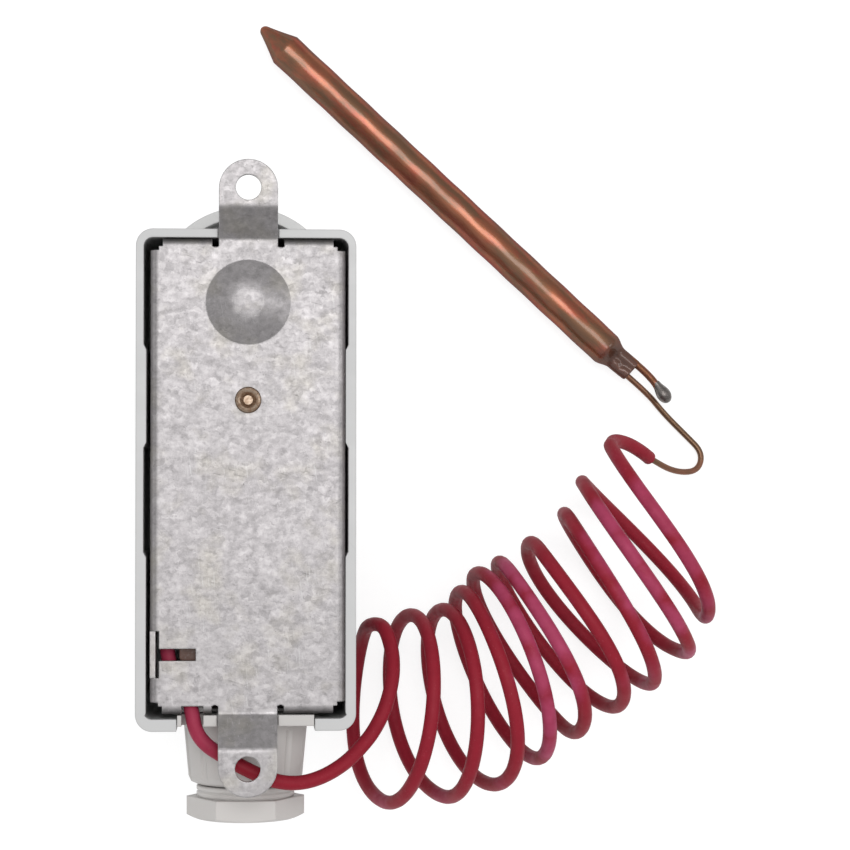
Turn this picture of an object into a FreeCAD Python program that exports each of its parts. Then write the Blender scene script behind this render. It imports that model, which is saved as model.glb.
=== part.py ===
import FreeCAD, Part
import math
import os

# Strap-on thermostat with a remote bulb on a sleeved capillary, in millimetres.
# It lies on its setting knob with its back up. +Z points out of the back towards the wall,
# +Y runs from the cable gland to the knob, and +X to the side where the capillary lies.
# The origin is the middle between the two ear holes, on the face of the ears that meets the wall.

V = FreeCAD.Vector
X_AXIS = V(1, 0, 0)
Y_AXIS = V(0, 1, 0)
Z_AXIS = V(0, 0, 1)

# General fits
FIT = 0.15
RUNNING = 0.05
PRESSED = 0.01

# Cover: a deep moulded box, open at the back
COVER_X = -0.35
COVER_TOP_Y = 45.2
COVER_BOTTOM_Y = -46.0
COVER_DEPTH = 34.0
COVER_CORNER = 3.1
COVER_EDGE = 2.2
SIDE_WALL = 1.4
TOP_WALL = 1.55
BOTTOM_WALL = 2.2
FACE_WALL = 2.0
PAD_THICK = 0.5
TOP_PADS = (21.0, 39.8)
BOTTOM_PADS = (2.3, 32.5)
EAR_NOTCH_CLEAR = 0.25
POINTER_LENGTH = 3.2
POINTER_WIDTH = 3.2
POINTER_HEIGHT = 0.5
POINTER_GAP = 0.8

# Base plate: a folded box of galvanised sheet
SHEET = 1.0
PLATE_WIDTH = 35.4
PLATE_CLEAR = 0.4
PLATE_TOP_CLEAR = 0.15
PLATE_BOTTOM_CLEAR = 0.9
PLATE_BEND = 1.5
SIDE_FLANGE = 9.0
END_FLANGE = 7.5
CORNER_GAP = 1.2
EAR_STEP = 3.3
EAR_WIDTH = 10.7
EAR_ROOT = 4.0
EAR_BEND = 1.6
TOP_EAR_REACH = 9.0
BOTTOM_EAR_REACH = 9.6
EAR_RAMP = 3.3
EAR_TIP = 5.1
EAR_HOLE_RADIUS = 2.3
RELIEF_WIDTH = 1.2
RELIEF_DEPTH = 1.1
DIMPLE_FROM_TOP = 11.6
DIMPLE_RADIUS = 7.75
DIMPLE_TOP_RADIUS = 2.8
DIMPLE_HEIGHT = 2.0
RIVET_FROM_TOP = 29.4
RIVET_SHANK_RADIUS = 1.7
RIVET_HEAD_RADIUS = 2.4
RIVET_HEAD = 0.7
RIVET_CUP_RADIUS = 1.5
RIVET_CUP_DEPTH = 0.9
SLOT_LENGTH = 8.3
SLOT_FROM_BOTTOM = 10.8
SLOT_WIDTH = 2.2
TAB_FROM_BOTTOM = 6.6
TAB_LENGTH = 8.5
TAB_SLIT = 0.65

# Setting knob and its spindle
KNOB_FROM_TOP = 10.8
KNOB_RADIUS = 18.15
KNOB_WALL = 2.1
KNOB_HEIGHT = 9.5
KNOB_FACE = 2.0
KNOB_EDGE = 1.2
KNOB_GAP = 0.5
KNOB_FLUTES = 36
KNOB_FLUTE_RADIUS = 0.8
KNOB_FLUTE_DEPTH = 0.35
FLUTE_FROM_FACE = 1.6
FLUTE_FROM_BACK = 0.8
KNOB_HUB_RADIUS = 5.0
GRIP_WIDTH = 5.0
GRIP_DEPTH = 1.0
DISH_RADIUS = 11.75
SPINDLE_RADIUS = 3.0
SPINDLE_FLAT = 2.3
SPINDLE_IN_KNOB = 6.0
SPINDLE_IN_SEAT = 1.6
THREAD_RADIUS = 2.5
COLLAR_RADIUS = 4.4
COLLAR_THICK = 1.1
BUSH_RADIUS = 4.6
BUSH_FLANGE_RADIUS = 6.4
BUSH_FLANGE = 1.2
BUSH_HEIGHT = 4.6
CLIP_RADIUS = 4.2
CLIP_THICK = 0.8
CLIP_GROOVE = 0.5
CLIP_MOUTH = 3.6
STOP_RADIUS = 12.4
STOP_WIDTH = 4.4
STOP_THICK = 2.6
LUG_WIDTH = 3.4
STOP_HEIGHT = 2.2

# Room inside, from the base plate to the cover's face; the mechanism takes its heights as shares of it
INNER_DEPTH = COVER_DEPTH - FACE_WALL - SHEET
FRAME_SHARE = 0.684
WAIST_SHARE = 0.4
SWITCH_WALL_SHARE = 0.58
CAPSULE_SHARE = 0.142
SWITCH_SHARE = 0.355
STRIP_SHARE = 0.42
POST_SHARE = 0.53
GLAND_SHARE = 0.4355
INSERT_SHARE = 0.8

# Mechanism frame, lever, spring and switch
FRAME_SHEET = 1.2
FRAME_SIDE_ROOM = 6.7
FRAME_WIDTH = PLATE_WIDTH - 2 * (SHEET + FRAME_SIDE_ROOM)
FRAME_TOP_ROOM = 1.5
FRAME_TAB = 3.0
FRAME_TAB_INSET = 3.0
FRAME_TAB_PROUD = 0.6
FRAME_FOOT_END = 1.1
FRAME_WAIST_SLOPE = 4.0
BRIDGE_REACH = 7.9
BRIDGE_OVERHANG = 0.8
BRIDGE_CORNER = 1.5
CAPSULE_CLEAR = 0.2
CAPSULE_RIM = 1.0
CAPSULE_RIM_THICK = 0.8
CAPSULE_EDGE = 1.2
CAPSULE_NECK_RADIUS = 3.0
CAPSULE_NECK = 0.8
CAPSULE_STUD_RADIUS = 2.0
CAPSULE_STUD = 1.2
BUTTON_RADIUS = 1.8
BUTTON_HEIGHT = 1.2
BUTTON_IN = 0.3
LEVER_THICK = 1.2
LEVER_SHARE = 0.45
LEVER_NOSE_SHARE = 0.6
LEVER_TAPER = 6.0
LEVER_PIVOT_ROOM = 2.0
LEVER_NOSE_REACH = 2.4
LEVER_EYE = 2.1
LEVER_EDGE = 1.6
LEVER_PIN_RADIUS = 1.25
LEVER_PIN_BELOW = 2.2
PIN_HEAD = 0.7
PIN_HEAD_RADIUS = 1.85
SPRING_COIL_RADIUS = 3.3
SPRING_WIRE_RADIUS = 0.55
SPRING_PITCH = 1.225
SPRING_END = 0.1
SEAT_THICK = 2.6
SEAT_LENGTH = 9.0
SEAT_ROOM = 2.4
SEAT_SIDE_CLEAR = 0.3
SWITCH_FROM_BRIDGE = 12.5
SWITCH_LENGTH = 20.5
PLUNGER_FROM_SWITCH = 4.0
PLUNGER_RADIUS = 1.5
PLUNGER_STICKS_OUT = 1.35
PLUNGER_LENGTH = 4.0
SWITCH_SEAM = 0.4
SWITCH_LID = 2.2
SWITCH_SCREW_SPACING = 14.0
SWITCH_SCREW_RADIUS = 1.2
SWITCH_SCREW_SHARE = 0.325
SWITCH_SCREW_HEAD_RADIUS = 2.1
SWITCH_SCREW_HEAD = 1.3
SWITCH_SCREW_DOWN = 3.0
FINE_SLOT = 0.6

# Terminals
STRIP_GAP = 6.5
STRIP_FROM_BOTTOM = 9.5
STRIP_EDGE = 0.8
LEAD_LANE = 4.3
WIRE_LANE = 4.7
TERMINALS = 3
BAY_WALL = 1.93
BAY_BACK = 5.0
BAY_SHARE = 0.54
CLAMP_INSET = 2.5
CLAMP_SHARE = 0.343
CLAMP_SINK = 0.6
CLAMP_ROOF = 1.6
CLAMP_WALL = 0.8
TERMINAL_HEAD_ROOM = 0.8
TERMINAL_SHANK_SHARE = 0.65
TERMINAL_HEAD = 1.6
TERMINAL_SCREW_LENGTH = 3.4
TERMINAL_SCREW_LIFT = 0.4
SCREW_SLOT = 0.8
SCREW_SLOT_DEPTH = 0.8
LINK_WIDTH = 2.6
LINK_THICK = 0.6
LINK_CLEAR = 0.2
LINK_INSET = 3.2
EARTH_FROM_SWITCH = 5.5
EARTH_SCREW_DOWN = 5.5
EARTH_SCREW_RADIUS = 1.5
EARTH_SCREW_INSIDE = 2.6
EARTH_WASHER = 1.0
EARTH_WASHER_WIDTH = 6.4
EARTH_HEAD_RADIUS = 2.9
EARTH_HEAD = 1.8

# Cover screw and its pillar
POST_FROM_SWITCH = 10.5
POST_FLATS = 5.0
SCREW_RADIUS = 1.5
SCREW_HEAD_RADIUS = 2.8
SCREW_HEAD = 1.8
SCREW_SINK = 0.6
SCREW_HEAD_EDGE = 0.4
BOSS_RADIUS = 4.0

# Cable gland
INSERT_THICK = 2.0
INSERT_SINK = 0.9
INSERT_LIP = 1.0
INSERT_LIP_THICK = 1.1
INSERT_LIP_CLEAR = 0.8
CONE_STEP = 0.8
CONE_TAPER = 1.0
CONE_LENGTH = 11.7
CONE_ROUND = 1.4
CONE_RIBS = 12
RIB_RADIUS = 1.0
RIB_SINK = 0.55
RIB_INSET = 1.4
STUB_RADIUS = 7.5
STUB_LENGTH = 4.6
STUB_CHAMFER = 0.4
GLAND_BORE_RADIUS = 5.6
SEAL_SEAT_RADIUS = 6.5
SEAL_RADIUS = 6.4
SEAL_BORE_RADIUS = 3.6
SEAL_LENGTH = 3.4
SEAL_PROUD = 1.0
SEAL_TAPER = 0.9
NUT_GAP = 0.3
NUT_RING_RADIUS = 9.1
NUT_RING_PITCH = 1.1
NUT_RINGS = 2
NUT_FLATS = 18.95
NUT_LENGTH = 6.2
NUT_HOLE_RADIUS = 4.6
NUT_CHAMFER = 0.6
THREAD_CLEAR = 0.08

# Sensing bulb, lying beside the housing
BULB_RADIUS = 3.4
BULB_TIP = (3.0, 88.2)
BULB_AXIS_DEG = -42.7
BULB_CONE = 5.9
BULB_SHOULDER = 0.6
BULB_TIP_RADIUS = 0.7
BULB_BODY = 86.5
CRIMP_LENGTH = 7.0
CRIMP_WIDTH = 4.6
CRIMP_THICK = 2.4
CRIMP_MOUTH = 2.45
CRIMP_CLEFT = 0.35
LOBE_RADIUS = 0.8
FILL_TUBE_RADIUS = 0.7
FILL_TUBE_BEND = V(5.2, 0, 0)
FILL_TUBE_END = V(7.5, -0.3, 0.2)
SOLDER_RADIUS = 1.25
SOLDER_LENGTH = 5.0

# Capillary: bare inside the housing and at the bulb, in a silicone sleeve between
SLEEVE_RADIUS = 1.5
SLEEVE_ROOM = 0.5
SLEEVE_EXIT_X = -10.0
SLEEVE_EXIT_DOWN = 2.5
CAPILLARY_RADIUS = 0.6
CAPILLARY_START = 2.0
COIL_OUTER_RADIUS = 18.85

# Levels that follow from the sizes above
COVER_WIDTH = PLATE_WIDTH + 2 * (SIDE_WALL + PAD_THICK + PLATE_CLEAR)
PLATE_TOP_Y = COVER_TOP_Y - TOP_WALL - PLATE_TOP_CLEAR
PLATE_BOTTOM_Y = COVER_BOTTOM_Y + BOTTOM_WALL + PLATE_BOTTOM_CLEAR
PLATE_INSIDE_X = PLATE_WIDTH / 2 - SHEET
DIMPLE_Y = PLATE_TOP_Y - DIMPLE_FROM_TOP
RIVET_Y = PLATE_TOP_Y - RIVET_FROM_TOP
SLOT_Y = PLATE_BOTTOM_Y + SLOT_FROM_BOTTOM
KNOB_Y = COVER_TOP_Y - KNOB_FROM_TOP
BACK_Z = -EAR_STEP
PLATE_IN_Z = BACK_Z - SHEET
COVER_FRONT_Z = BACK_Z - COVER_DEPTH
COVER_IN_Z = COVER_FRONT_Z + FACE_WALL
KNOB_BACK_Z = COVER_FRONT_Z - KNOB_GAP
FLOOR_Z = KNOB_BACK_Z - KNOB_HEIGHT
FRAME_HALF = FRAME_WIDTH / 2
FRAME_TOP_Y = PLATE_TOP_Y - FRAME_TOP_ROOM
FRAME_IN_Z = PLATE_IN_Z - FRAME_SHEET
FRAME_END_Z = PLATE_IN_Z - FRAME_SHARE * INNER_DEPTH
BRIDGE_FRONT_Z = FRAME_END_Z - FRAME_SHEET
BRIDGE_END_Y = KNOB_Y - BRIDGE_REACH
CAPSULE_RIM_RADIUS = FRAME_HALF - FRAME_SHEET - CAPSULE_CLEAR
CAPSULE_RADIUS = CAPSULE_RIM_RADIUS - CAPSULE_RIM
CAPSULE_THICK = CAPSULE_SHARE * INNER_DEPTH
CAPSULE_FRONT_Z = FRAME_IN_Z - CAPSULE_THICK - CAPSULE_NECK
LEVER_WIDTH = LEVER_SHARE * FRAME_WIDTH
LEVER_BACK_Z = CAPSULE_FRONT_Z - BUTTON_HEIGHT - RUNNING
LEVER_FRONT_Z = LEVER_BACK_Z - LEVER_THICK
LEVER_PIN_Z = LEVER_FRONT_Z - LEVER_PIN_BELOW
LEVER_PIVOT_Y = FRAME_TOP_Y - LEVER_PIVOT_ROOM
COLLAR_BACK_Z = FRAME_END_Z + RUNNING + COLLAR_THICK
SEAT_FRONT_Z = COLLAR_BACK_Z + SEAT_ROOM
SEAT_BACK_Z = SEAT_FRONT_Z + SEAT_THICK
BUSH_END_Z = BRIDGE_FRONT_Z - BUSH_HEIGHT
SWITCH_TO_Y = BRIDGE_END_Y - SWITCH_FROM_BRIDGE
SWITCH_FROM_Y = SWITCH_TO_Y - SWITCH_LENGTH
SWITCH_BACK_Z = LEVER_FRONT_Z - PLUNGER_STICKS_OUT
SWITCH_HEIGHT = SWITCH_SHARE * INNER_DEPTH
SWITCH_FRONT_Z = SWITCH_BACK_Z - SWITCH_HEIGHT
SWITCH_SCREW_Z = SWITCH_BACK_Z - SWITCH_SCREW_DOWN
SWITCH_SCREW_LENGTH = SWITCH_SCREW_SHARE * FRAME_WIDTH
PLUNGER_Y = SWITCH_TO_Y - PLUNGER_FROM_SWITCH
LEVER_END_Y = PLUNGER_Y - LEVER_NOSE_REACH
FRAME_WALL_END_Y = SWITCH_FROM_Y - 1.0
POST_Y = SWITCH_FROM_Y + POST_FROM_SWITCH
POST_HEIGHT = POST_SHARE * (SWITCH_FRONT_Z - COVER_IN_Z)
EARTH_SCREW_Y = SWITCH_FROM_Y + EARTH_FROM_SWITCH
EARTH_SCREW_Z = PLATE_IN_Z - EARTH_SCREW_DOWN
STRIP_FROM_X = LEAD_LANE - PLATE_INSIDE_X
STRIP_TO_X = PLATE_INSIDE_X - WIRE_LANE
STRIP_FROM_Y = PLATE_BOTTOM_Y + STRIP_FROM_BOTTOM
STRIP_TO_Y = SWITCH_FROM_Y - STRIP_GAP
STRIP_HEIGHT = STRIP_SHARE * INNER_DEPTH
STRIP_FRONT_Z = FRAME_IN_Z - STRIP_HEIGHT
TERMINAL_PITCH = (STRIP_TO_X - STRIP_FROM_X) / TERMINALS
BAY_WIDTH = TERMINAL_PITCH - BAY_WALL
BAY_DEPTH = BAY_SHARE * STRIP_HEIGHT
CLAMP_Y = STRIP_FROM_Y + CLAMP_INSET
CLAMP_LENGTH = CLAMP_SHARE * (STRIP_TO_Y - STRIP_FROM_Y)
CLAMP_FACE_Z = STRIP_FRONT_Z + CLAMP_SINK
TERMINAL_HEAD_RADIUS = BAY_WIDTH / 2 - TERMINAL_HEAD_ROOM
TERMINAL_SCREW_RADIUS = TERMINAL_SHANK_SHARE * TERMINAL_HEAD_RADIUS
GLAND_Z = PLATE_IN_Z - GLAND_SHARE * INNER_DEPTH
INSERT_WIDTH = INSERT_SHARE * INNER_DEPTH
INSERT_OUT_Y = COVER_BOTTOM_Y + INSERT_SINK
INSERT_IN_Y = INSERT_OUT_Y + INSERT_THICK
CONE_RADIUS_IN = INSERT_WIDTH / 2 - CONE_STEP
CONE_RADIUS_OUT = CONE_RADIUS_IN - CONE_TAPER
CONE_END_Y = INSERT_OUT_Y - CONE_LENGTH
STUB_END_Y = CONE_END_Y - STUB_LENGTH
NUT_START_Y = CONE_END_Y - NUT_GAP
NUT_END_Y = NUT_START_Y - NUT_LENGTH
BULB_Z = FLOOR_Z + BULB_RADIUS
NECK_START = BULB_CONE + BULB_BODY
LOBE_OFFSET = CRIMP_WIDTH / 2 - LOBE_RADIUS
LOBE_START = NECK_START + CRIMP_LENGTH - CRIMP_MOUTH
SLEEVE_EXIT_Z = BACK_Z - SLEEVE_EXIT_DOWN
SLEEVE_LANE_X = LEAD_LANE / 2 - PLATE_INSIDE_X
SLEEVE_OVER_Z = GLAND_Z + CONE_RADIUS_IN + SLEEVE_RADIUS
CAPILLARY_LANE_X = -(FRAME_HALF + EARTH_WASHER + EARTH_HEAD + PLATE_INSIDE_X) / 2
CAPILLARY_Z = FRAME_IN_Z - CAPSULE_THICK / 2

# Routes of the lead, chosen point by point: out of the housing and round behind the gland,
# and from the coil's far end down to the surface and back to the bulb
SLEEVE_ROUTE = [
    V(SLEEVE_LANE_X, STRIP_FROM_Y + 11.4, -8.3),
    V(SLEEVE_LANE_X, STRIP_FROM_Y - 1.2, -7.3),
    V(-10.1, COVER_BOTTOM_Y + 4.8, -6.3),
    V(-9.3, COVER_BOTTOM_Y - 2.0, SLEEVE_OVER_Z - 0.2),
    V(-5.2, COVER_BOTTOM_Y - 6.9, SLEEVE_OVER_Z),
    V(1.5, COVER_BOTTOM_Y - 9.7, SLEEVE_OVER_Z),
    V(9.2, COVER_BOTTOM_Y - 10.9, SLEEVE_OVER_Z - 0.9),
    V(16.6, COVER_BOTTOM_Y - 8.8, -8.0),
    V(22.3, -49.6, -10.3),
    V(26.3, -43.6, -11.6),
    V(29.0, -37.5, -13.2),
]
SLEEVE_END_ROUTE = [
    V(70.5, 6.6, -29.5),
    V(74.2, 6.2, -33.6),
    V(78.9, 3.6, -38.1),
]
TAIL_ROUTE = [
    SLEEVE_END_ROUTE[-1],
    V(84.4, 0.9, -42.4),
    V(89.7, 1.0, -45.4),
    V(90.9, 4.8, -46.4),
    V(87.2, 8.3, -46.6),
    V(82.6, 12.5, -46.2),
    V(79.0, 16.6, -45.0),
]
INNER_ROUTE = [
    V(-CAPSULE_RIM_RADIUS, DIMPLE_Y, CAPILLARY_Z),
    V(-FRAME_HALF - CAPILLARY_START, DIMPLE_Y, CAPILLARY_Z),
    V(CAPILLARY_LANE_X, DIMPLE_Y - 8.0, CAPILLARY_Z),
    V(CAPILLARY_LANE_X, EARTH_SCREW_Y + 7.0, CAPILLARY_Z - 0.5),
    V(CAPILLARY_LANE_X, EARTH_SCREW_Y - 9.0, CAPILLARY_Z - 0.3),
    SLEEVE_ROUTE[0],
]

# The coil from end to end: middle of a ring, its turn about Z from +Y, and the lean of its top
COIL_STATIONS = (
    (25.3, -45.1, 4.1, 10.0),
    (38.3, -43.0, 12.8, 7.0),
    (51.3, -35.8, 26.4, 3.0),
    (62.8, -28.2, 37.1, 0.0),
    (72.8, -20.4, 39.3, -3.0),
    (78.3, -10.6, 30.0, -5.0),
)


# Shape helpers

def box(x0, x1, y0, y1, z0, z1):
    return Part.makeBox(x1 - x0, y1 - y0, z1 - z0, V(x0, y0, z0))


def rod(radius, start, end):
    """Cylinder between two points."""
    axis = end - start
    return Part.makeCylinder(radius, axis.Length, start, axis)


def rounded_wire(x0, x1, y0, y1, z, radius):
    """Rectangle with four round corners, level at z."""
    bulge = radius * (1 - math.sqrt(0.5))
    corners = [
        (V(x1 - radius, y0, z), V(x1 - bulge, y0 + bulge, z), V(x1, y0 + radius, z)),
        (V(x1, y1 - radius, z), V(x1 - bulge, y1 - bulge, z), V(x1 - radius, y1, z)),
        (V(x0 + radius, y1, z), V(x0 + bulge, y1 - bulge, z), V(x0, y1 - radius, z)),
        (V(x0, y0 + radius, z), V(x0 + bulge, y0 + bulge, z), V(x0 + radius, y0, z)),
    ]
    edges = []
    for i, corner in enumerate(corners):
        edges.append(Part.Arc(*corner).toShape())
        edges.append(Part.LineSegment(corner[2], corners[(i + 1) % 4][0]).toShape())
    return Part.Wire(edges)


def rounded_block(x0, x1, y0, y1, z0, z1, radius):
    face = Part.Face(rounded_wire(x0, x1, y0, y1, z0, radius))
    return face.extrude(V(0, 0, z1 - z0))


def polygon_prism(points, push):
    """Prism on a closed outline of points, pushed along a vector."""
    return Part.Face(Part.makePolygon(points + [points[0]])).extrude(push)


def hexagon_y(flats, x, z, y0, y1):
    """Hexagonal prism along Y with one flat towards +Z."""
    corner = flats / math.sqrt(3)
    points = []
    for i in range(6):
        angle = math.radians(60 * i)
        points.append(V(x + corner * math.cos(angle), y0, z + corner * math.sin(angle)))
    return polygon_prism(points, V(0, y1 - y0, 0))


def hexagon_z(flats, x, y, z0, z1):
    """Hexagonal prism along Z."""
    corner = flats / math.sqrt(3)
    points = []
    for i in range(6):
        angle = math.radians(60 * i)
        points.append(V(x + corner * math.cos(angle), y + corner * math.sin(angle), z0))
    return polygon_prism(points, V(0, 0, z1 - z0))


def revolve_z(profile, x, y):
    """Solid turned about the upright line at x, y from (radius, z) points."""
    points = [V(x + radius, y, z) for radius, z in profile]
    face = Part.Face(Part.makePolygon(points + [points[0]]))
    return face.revolve(V(x, y, 0), Z_AXIS, 360)


def revolve_y(profile, x, z):
    """Solid turned about the line along Y at x, z from (radius, y) points."""
    points = [V(x + radius, y, z) for radius, y in profile]
    face = Part.Face(Part.makePolygon(points + [points[0]]))
    return face.revolve(V(x, 0, z), Y_AXIS, 360)


def fuse_all(shapes):
    return shapes[0].multiFuse(shapes[1:]).removeSplitter()


def path_edges(points, radii):
    """Straight runs through points, joined at each inner point by a tangent arc of its radius."""
    edges = []
    start = points[0]
    for i, radius in enumerate(radii):
        before, here, after = points[i], points[i + 1], points[i + 2]
        back = (before - here).normalize()
        ahead = (after - here).normalize()
        half_turn = (math.pi - back.getAngle(ahead)) / 2
        cut = radius * math.tan(half_turn)
        enter = here + back * cut
        leave = here + ahead * cut
        middle = (back + ahead).normalize()
        crest = here + middle * (radius / math.cos(half_turn) - radius)
        edges.append(Part.LineSegment(start, enter).toShape())
        edges.append(Part.Arc(enter, crest, leave).toShape())
        start = leave
    edges.append(Part.LineSegment(start, points[-1]).toShape())
    return edges


def folded(points, thickness, inner_radius, along, length):
    """Folded sheet: a line of points with rounded bends, thick on both sides of it, a length long."""
    sides = []
    for side in (1, -1):
        offset_points = []
        radii = []
        for i, point in enumerate(points):
            ahead = (points[i + 1] - point).normalize() if i + 1 < len(points) else None
            behind = (point - points[i - 1]).normalize() if i else None
            if ahead is None or behind is None:
                direction = ahead or behind
                offset_points.append(point + direction.cross(along) * (side * thickness / 2))
                continue
            left = behind.cross(along)
            right = ahead.cross(along)
            miter = (left + right).normalize()
            reach = thickness / 2 / math.cos(left.getAngle(right) / 2)
            offset_points.append(point + miter * (side * reach))
            outside = (ahead - behind).dot(miter) * side < 0
            radii.append(inner_radius + thickness if outside else inner_radius)
        sides.append(path_edges(offset_points, radii))
    first, second = sides
    edges = first + second
    for i, vertex in ((-1, -1), (0, 0)):
        ends = [line[i].Vertexes[vertex].Point for line in sides]
        edges.append(Part.LineSegment(ends[0], ends[1]).toShape())
    return Part.Face(Part.Wire(Part.__sortEdges__(edges))).extrude(along * length)


def tube_along(points, radius, radii):
    """Round bar along a path of straight runs and tangent arcs."""
    edges = path_edges(points, radii)
    wire = Part.Wire(edges)
    circle = Part.Wire([Part.Circle(points[0], points[1] - points[0], radius).toShape()])
    tube = wire.makePipeShell([circle], True, False)
    length = wire.Length
    section = math.pi * radius * radius
    print("tube length %.2f, volume ratio %.4f" % (length, tube.Volume / (section * length)))
    return tube


def cord_radii(name, points):
    """Bend radii of a cord: as large as the shorter run beside each point allows."""
    radii = []
    for i in range(1, len(points) - 1):
        before = points[i] - points[i - 1]
        after = points[i + 1] - points[i]
        half_turn = before.getAngle(after) / 2
        radii.append(0.45 * min(before.Length, after.Length) / math.tan(half_turn))
    print(name, "bend radii", " ".join("%.1f" % radius for radius in radii))
    return radii


# Sheet metal

def ear(direction):
    """One ear: the plate's own strip, stepped back to the wall plane, with a round end and a hole."""
    root_y = PLATE_TOP_Y if direction > 0 else PLATE_BOTTOM_Y
    reach = TOP_EAR_REACH if direction > 0 else BOTTOM_EAR_REACH
    hole_y = root_y + direction * reach
    middle = SHEET / 2
    start_y = root_y - direction * EAR_ROOT
    points = [
        V(-EAR_WIDTH / 2, start_y, BACK_Z - middle),
        V(-EAR_WIDTH / 2, root_y, BACK_Z - middle),
        V(-EAR_WIDTH / 2, hole_y - direction * EAR_RAMP, -middle),
        V(-EAR_WIDTH / 2, hole_y + direction * EAR_TIP, -middle),
    ]
    strip = folded(points, SHEET, EAR_BEND - SHEET / 2, X_AXIS, EAR_WIDTH)
    end_y = hole_y + direction * (EAR_TIP - EAR_WIDTH / 2)
    round_end = Part.makeCylinder(EAR_WIDTH / 2, 3 * EAR_STEP, V(0, end_y, -2 * EAR_STEP))
    inner_y = start_y - direction
    keep = box(-EAR_WIDTH, EAR_WIDTH, min(inner_y, end_y), max(inner_y, end_y), -2 * EAR_STEP, EAR_STEP)
    strip = strip.common(keep.fuse(round_end))
    return strip.cut(Part.makeCylinder(EAR_HOLE_RADIUS, 3 * EAR_STEP, V(0, hole_y, -2 * EAR_STEP)))


def side_flange(direction):
    """Long side of the plate, folded towards the front."""
    middle = SHEET / 2
    edge_x = direction * (PLATE_WIDTH / 2 - middle)
    points = [
        V(direction * (PLATE_WIDTH / 2 - 2 * PLATE_BEND), 0, BACK_Z - middle),
        V(edge_x, 0, BACK_Z - middle),
        V(edge_x, 0, BACK_Z - SIDE_FLANGE),
    ]
    length = PLATE_TOP_Y - PLATE_BOTTOM_Y - 2 * (SHEET + CORNER_GAP)
    flange = folded(points, SHEET, PLATE_BEND - SHEET, Y_AXIS, length)
    flange.translate(V(0, PLATE_BOTTOM_Y + SHEET + CORNER_GAP, 0))
    return flange


def end_flange(direction):
    """Short side of the plate, folded towards the front in two halves beside the ear."""
    middle = SHEET / 2
    edge_y = (PLATE_TOP_Y - middle) if direction > 0 else (PLATE_BOTTOM_Y + middle)
    points = [
        V(0, edge_y - direction * 2 * PLATE_BEND, BACK_Z - middle),
        V(0, edge_y, BACK_Z - middle),
        V(0, edge_y, BACK_Z - END_FLANGE),
    ]
    length = PLATE_WIDTH - 2 * (SHEET + CORNER_GAP)
    flange = folded(points, SHEET, PLATE_BEND - SHEET, X_AXIS, length)
    flange.translate(V(-length / 2, 0, 0))
    reach = EAR_WIDTH / 2 + RELIEF_WIDTH
    inner_y = edge_y - direction * (RELIEF_DEPTH + middle)
    outer_y = edge_y + direction * 2
    window = box(-reach, reach, min(inner_y, outer_y), max(inner_y, outer_y), BACK_Z - 2 * END_FLANGE, 0)
    return flange.cut(window)


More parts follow.
